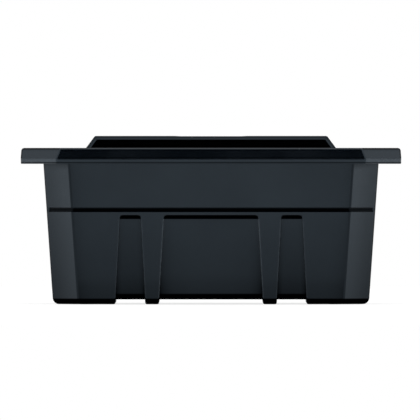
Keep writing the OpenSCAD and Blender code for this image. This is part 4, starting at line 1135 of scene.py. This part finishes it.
drain = {"tailEnd": 93.2, "flange": 116.678, "barrel": 119.678, "spigot": 135.678, "end": 147.678,
         "tailR": 9.0, "flangeR": 15.0, "barrelR": 9.5, "spigotR": 7.0, "rootR": 6.1, "bore": 4.0,
         "boreEase": 0.4, "barbs": (0.0, 3.9), "barbRise": (0.4, 0.9, 3.3, 3.7),
         "cockY": 127.678, "bonnetR": 7.8, "bonnetTaper": 1.0, "bonnetLow": 2.0, "bonnetFull": 6.5,
         "bonnetZ": 41.1, "stemR": 4.0,
         "glandT": 3.0, "glandBore": 3.6, "flutes": 24, "fluteDeep": 0.07,
         # what the bonnet loses in radius, and the distance below its top
         "bonnetTop": ((0.0, 4.2), (0.5, 3.9), (0.5, 3.3), (0.0, 3.0), (0.0, 0.7), (0.2, 0.2), (0.7, 0.0)),
         "leverZ": 44.4, "leverT": 4.0, "leverLen": 40.0, "hubR": 5.5, "tipR": 4.5,
         # insets of the lever's outline, and their distances from its underside and from its sunk top
         "leverFoot": ((0.9, 0.0), (0.3, 0.15), (0.0, 0.7)),
         "leverTop": ((0.0, 1.1), (0.15, 0.55), (0.55, 0.15), (1.2, 0.0), (1.9, 0.0), (2.3, 0.35),
                      (2.9, 0.5)),
         "screw": (5.0, 1.8, 2.2, 1.5, 9.0),        # head radius and height, socket, shank radius and length
         "washerEase": 0.4, "nutEase": 0.5, "strainerEase": 0.3}


def screwHead(radius, height, socket, shank, length, spot, up):
    # a domed head with a six-sided socket, then its shank: rings from the socket's floor out over the dome,
    # which falls by three quarters of its height, and down. up is 1 for a head that faces up, else -1
    angle = circle(24)
    whole = np.ones(len(angle))
    sixth = math.pi / 3
    hexagon = socket * math.cos(sixth / 2) / np.cos(angle % sixth - sixth / 2)
    dome = np.array([0.72, 0.84, 0.93, 0.98, 1.0])
    rings = [(whole * 0.05, 0.45), (hexagon * 0.97, 0.45), (hexagon, 0.5), (hexagon, 0.97),
             (hexagon * 1.06, 1.0)]
    rings += [(whole * radius * share, 1 - 0.75 * ((share - 0.6) / 0.4) ** 3) for share in dome]
    rings += [(whole * radius, 0.0), (whole * shank, 0.0), (whole * shank, -length / height)]
    r = np.stack([ring for ring, _ in rings])
    rise = np.array([share for _, share in rings])[:, None] * height
    z = np.broadcast_to(spot[2] + up * rise, r.shape)
    points = np.stack([spot[0] + r * np.cos(angle), spot[1] + r * np.sin(angle), z], -1)
    return points.reshape(-1, 3), gridFaces(*r.shape), endCaps(*r.shape)


def drainProfile():
    # (radius, distance along y) rows of the turned body: tail, flange, barrel, barbed spigot, then back down
    # the bore
    d = drain
    flange, barrel, spigot, end = (d[key] for key in ("flange", "barrel", "spigot", "end"))
    tailR, rootR, flangeR, barrelR = (d[key] for key in ("tailR", "rootR", "flangeR", "barrelR"))
    spigotR, bore, ease = (d[key] for key in ("spigotR", "bore", "boreEase"))
    low, foot, crest, drop = d["barbRise"]
    barb = ((rootR, low), (rootR, foot), (spigotR, crest), (spigotR, drop))
    return [(tailR, d["tailEnd"]), (tailR, flange - 0.2),
            (flangeR - 0.7, flange), (flangeR - 0.2, flange + 0.2), (flangeR, flange + 0.7),
            (flangeR, barrel - 0.8), (flangeR - 0.25, barrel - 0.25), (flangeR - 0.8, barrel),
            (barrelR + 0.9, barrel), (barrelR + 0.3, barrel + 0.3), (barrelR, barrel + 1.0),
            (barrelR, spigot - 1.2), (barrelR - 0.35, spigot - 0.35), (barrelR - 1.2, spigot),
            (rootR + 0.3, spigot), *((r, spigot + start + y) for start in d["barbs"] for r, y in barb),
            (rootR, spigot + 8.2), (rootR, spigot + 8.7), (spigotR, spigot + 10.6),
            (spigotR, end - 0.9), (spigotR - 0.4, end - 0.3), (spigotR - 1.0, end),
            (bore + ease, end), (bore, end - ease), (bore, d["tailEnd"])]


def makeDrain():
    d = drain
    z, top, r, spot = tub["bossZ"], d["bonnetZ"], d["bonnetR"], (0.0, d["cockY"], 0.0)
    bonnet = [(r - d["bonnetTaper"], z + d["bonnetLow"]), (r, z + d["bonnetFull"]),
              *((r - inset, top - far) for inset, far in d["bonnetTop"]), (d["stemR"], top)]
    body = [lathe(drainProfile(), 64, (0.0, 0.0, z), closed=True), lathe(bonnet, 48, spot, 2)]
    putPiece("drain_barrel", body, fittingMat, "base", "drain_body", crease=50)

    high, bore = top + d["glandT"], d["glandBore"]
    gland = [(bore, top), (r - 0.5, top), (r, top + 0.4, 1), (r, high - 0.7, 1), (r - 0.25, high - 0.2, 0.6),
             (r - 0.8, high), (bore, high)]
    ring = lathe(gland, 96, spot, 2, d["flutes"], d["fluteDeep"], closed=True)
    putPiece("drain_gland_ring", [ring], fittingMat, "base", "drain_gland", crease=50)

    def lever(inset):
        # outline round a hub and a smaller tip, joined by the lines that touch both
        hub, tip = d["hubR"] - inset, d["tipR"] - inset
        lean = math.acos((d["hubR"] - d["tipR"]) / d["leverLen"])
        end, back = np.linspace(-lean, lean, 17), np.linspace(lean, 2 * math.pi - lean, 25)
        return np.concatenate([
            np.column_stack([d["leverLen"] + tip * np.cos(end), d["cockY"] + tip * np.sin(end)]),
            np.column_stack([hub * np.cos(back), d["cockY"] + hub * np.sin(back)])])

    low, high = d["leverZ"], d["leverZ"] + d["leverT"]
    levels = [(inset, low + far) for inset, far in d["leverFoot"]]
    levels += [(inset, high - far) for inset, far in d["leverTop"]]
    blade = easedPlate(lever, levels, 2)
    putPiece("drain_lever_blade", [blade], leverMat, "cock", "drain_lever", crease=60)
    screw = screwHead(*d["screw"], (0.0, d["cockY"], high), 1)
    putPiece("lever_cap_screw", [screw], zincMat, "cock", "lever_screw", crease=40)
    easedNode("drain_washer", d["washerEase"], "base", rubberMat)
    easedNode("drain_nut", d["nutEase"], "base", fittingMat)
    easedNode("drain_strainer", d["strainerEase"], "base", steelAlongY)


makeDrain()


# hinges, screws and pads

hardware = {"bracketEase": 0.45, "bufferEase": 0.2, "pinR": 2.5, "pinHalf": 9.9,
            "screw": (2.9, 1.8, 1.5, 1.5, 9.5),    # head radius and height, socket, shank radius and length
            "plateZ": 175.0, "screwX": 13.9, "screwY": 138.75,
            "flangeZ": 158.0, "rimX": (40.0, 120.0), "rimY": 136.0, "endX": 196.0, "endY": 45.0,
            "padX": 136.44, "padY": 99.34, "padR": 8.0, "padTop": 2.1, "padCore": 0.3,
            "treads": (1.9, 4.6), "treadDeep": 0.3, "treadWide": 1.2, "treadSlope": 0.2}


def makeHardware():
    h = hardware
    bothSides = (-1, 1)
    quadrants = [(sx, sy) for sx in bothSides for sy in bothSides]
    easedNode("hinge_brackets", h["bracketEase"], "base", fittingMat)
    easedNode("hood_buffers", h["bufferEase"], "base", rubberMat)

    # hinge pins with a domed rivet head at either end
    r, half = h["pinR"], h["pinHalf"]
    rivet = np.array([(0.3, half + 0.9), (r * 0.7, half + 0.75), (r + 0.5, half + 0.35),
                      (r + 0.7, half + 0.02), (r, half)])
    pin = np.concatenate([rivet * (1, -1), rivet[::-1]])
    pins = [lathe(pin, 32, (side * hood["hingeX"], hood["hingeY"], hood["hingeZ"]), 0) for side in bothSides]
    putPiece("hinge_pin_pair", pins, steelAlongX, "base", "hinge_pins", crease=50)

    spots = [(sx * hood["hingeX"] + dx * h["screwX"], h["screwY"], h["plateZ"]) for sx, dx in quadrants]
    screws = [screwHead(*h["screw"], spot, 1) for spot in spots]
    putPiece("bracket_cap_screws", screws, zincMat, "base", "bracket_screws", crease=40)
    spots = [(sx * x, sy * h["rimY"], h["flangeZ"]) for sx, sy in quadrants for x in h["rimX"]]
    spots += [(sx * h["endX"], sy * h["endY"], h["flangeZ"]) for sx, sy in quadrants]
    screws = [screwHead(*h["screw"], spot, -1) for spot in spots]
    putPiece("rim_cap_screws", screws, zincMat, "base", "rim_screws", crease=40)

    # pads with two ring treads below
    r, top, deep = h["padR"], h["padTop"], h["treadDeep"]
    wide, slope, core = h["treadWide"], h["treadSlope"], h["padCore"]
    groove = ((0.0, 0.0), (slope, deep), (wide - slope, deep), (wide, 0.0))
    treads = [(start + step, z) for start in h["treads"] for step, z in groove]
    pad = [(core, 0.0), *treads, (r - 0.5, 0.0), (r - 0.15, 0.15), (r, 0.5), (r, top), (core, top)]
    pads = [lathe(pad, 40, (sx * h["padX"], sy * h["padY"], 0.0), 2) for sx, sy in quadrants]
    putPiece("foot_pad_set", pads, rubberMat, "base", "foot_pads", crease=50)


makeHardware()


# stage, in metres: pale floor, white backdrop, soft lamps and a dark card in front that the camera can't see

stage = {"floorHalf": 14.0, "floorColour": (0.82, 0.82, 0.82), "floorRough": 0.9, "floorShine": 0.1,
         "lift": (0.6, 1.22), "fade": (1.6, 3.0), "dim": 0.25,
         "cardColour": (0.004, 0.004, 0.004), "cardRough": 0.95, "cardSteps": 8, "cardHalf": 3.2,
         "cardY": -3.4, "cardLow": 0.20, "cardHigh": 3.4, "cardLean": 5.7, "cardFrom": 0.45}


def seenRay(maker):
    # 1 for a ray that comes from the camera, a mirror or glass
    kinds = ("Is Camera Ray", "Is Glossy Ray", "Is Transmission Ray")
    camera, mirror, glass = (maker.node("ShaderNodeLightPath", get=kind) for kind in kinds)
    return maker.maths("MINIMUM", camera + mirror + glass, 1.0)


def putStage(name, points, faces, material):
    mesh = bpy.data.meshes.new(name)
    mesh.from_pydata(points, [], faces)
    mesh.materials.append(material)
    thing = bpy.data.objects.new(name, mesh)
    bpy.context.scene.collection.objects.link(thing)
    return thing


def makeFloor():
    # the floor is seen lifted to white: near the object in part, so that its shadow stays, far off wholly
    s = stage
    material, maker, shader = startMaterial("pale_floor")
    setShader(maker, shader, s["floorColour"], s["floorRough"], fixed={"Specular IOR Level": s["floorShine"]})
    seen = seenRay(maker)
    away = maker.node("ShaderNodeVectorMath", {"operation": "LENGTH"}, {0: place(maker)}, get="Value")
    share, strength = s["lift"]
    far = away.between(*s["fade"])
    lift = share + far * (1 - share)
    glow = maker.node("ShaderNodeEmission", {},
                      {"Color": (1, 1, 1, 1), "Strength": strength + far * (1 - strength)})
    mixInto(maker, shader, seen * lift, glow)
    half = s["floorHalf"]
    corners = [(-half, -half, 0), (half, -half, 0), (half, half, 0), (-half, half, 0)]
    putStage("floor", corners, [(0, 1, 2, 3)], material)


def makeCard():
    # a tall dark sheet that curves over towards its top
    s = stage
    rise = np.linspace(0, 1, s["cardSteps"] + 1)
    y = s["cardY"] + s["cardLean"] * np.clip(rise - s["cardFrom"], 0, None) ** 2
    z = s["cardLow"] + (s["cardHigh"] - s["cardLow"]) * rise
    sides = [np.column_stack([np.full(len(rise), side * s["cardHalf"]), y, z]) for side in (-1, 1)]
    material, maker, shader = startMaterial("card_black")
    setShader(maker, shader, s["cardColour"], s["cardRough"], fixed={"Specular IOR Level": 0.0})
    quads = gridFaces(2, len(rise), ring=False)
    card = putStage("dark_card", np.concatenate(sides).tolist(), quads.tolist(), material)
    card.visible_camera = False
    card.visible_shadow = False
    card.visible_diffuse = False


def makeWorld():
    # a white studio, dimmer as a light than as it is seen
    world = bpy.data.worlds.new("white_studio")
    bpy.context.scene.world = world
    world.use_nodes = True
    tree = world.node_tree
    strength = stage["dim"] + seenRay(Wire(tree)) * (1 - stage["dim"])
    back = tree.nodes["Background"]
    back.inputs["Color"].default_value = (1, 1, 1, 1)
    tree.links.new(strength.socket, back.inputs["Strength"])


# place, aim, width and height, watts and beam in degrees
lamps = {"rear_softbox": ((0.0, 2.6, 1.35), (0.0, 0.0, 0.1), (3.0, 0.9), 60.0, 180.0),
         "left_softbox": ((-2.5, 0.0, 1.8), (-2.4, 0.0, 0.0), (1.0, 1.8), 59.0, 110.0),
         "right_softbox": ((2.5, 0.0, 1.8), (2.4, 0.0, 0.0), (1.0, 1.8), 59.0, 110.0),
         "front_softbox": ((0.0, -1.9, 1.5), (0.0, -1.9, 0.0), (2.0, 0.8), 16.0, 120.0)}


def makeLamp(name, spot, aim, size, power, beam):
    lamp = bpy.data.lights.new(name, "AREA")
    lamp.shape = "RECTANGLE"
    lamp.size, lamp.size_y = size
    lamp.energy = power
    lamp.spread = math.radians(beam)
    holder = bpy.data.objects.new(name, lamp)
    bpy.context.scene.collection.objects.link(holder)
    holder.visible_camera = False
    holder.visible_glossy = False
    holder.location = spot
    x, y, z = np.array(aim) - np.array(spot)
    holder.rotation_euler = (math.atan2(math.hypot(x, y), -z), 0.0, math.atan2(y, x) - math.pi / 2)


view = {"across": 0.4643, "far": 22.0, "plane": -0.06, "x": -0.0011, "z": 0.1039, "high": 0.155}


def makeCamera():
    # so far off that the view is all but parallel, level with the rim's lip, dipped to the picture's middle
    camera = bpy.data.cameras.new("camera")
    reach = view["far"] + view["plane"]
    camera.sensor_width = 36.0
    camera.lens = camera.sensor_width * reach / view["across"]
    camera.clip_end = 4 * view["far"]
    holder = bpy.data.objects.new("camera", camera)
    bpy.context.scene.collection.objects.link(holder)
    holder.location = (view["x"], -view["far"], view["high"])
    dip = math.atan2(view["high"] - view["z"], reach)
    holder.rotation_euler = (math.pi / 2 - dip, 0.0, 0.0)
    bpy.context.scene.camera = holder


makeFloor()
makeCard()
makeWorld()
for lampName, lampValues in lamps.items():
    makeLamp(lampName, *lampValues)
makeCamera()
bpy.context.scene.view_settings.view_transform = "Standard"
print("stage, lamps and camera set")
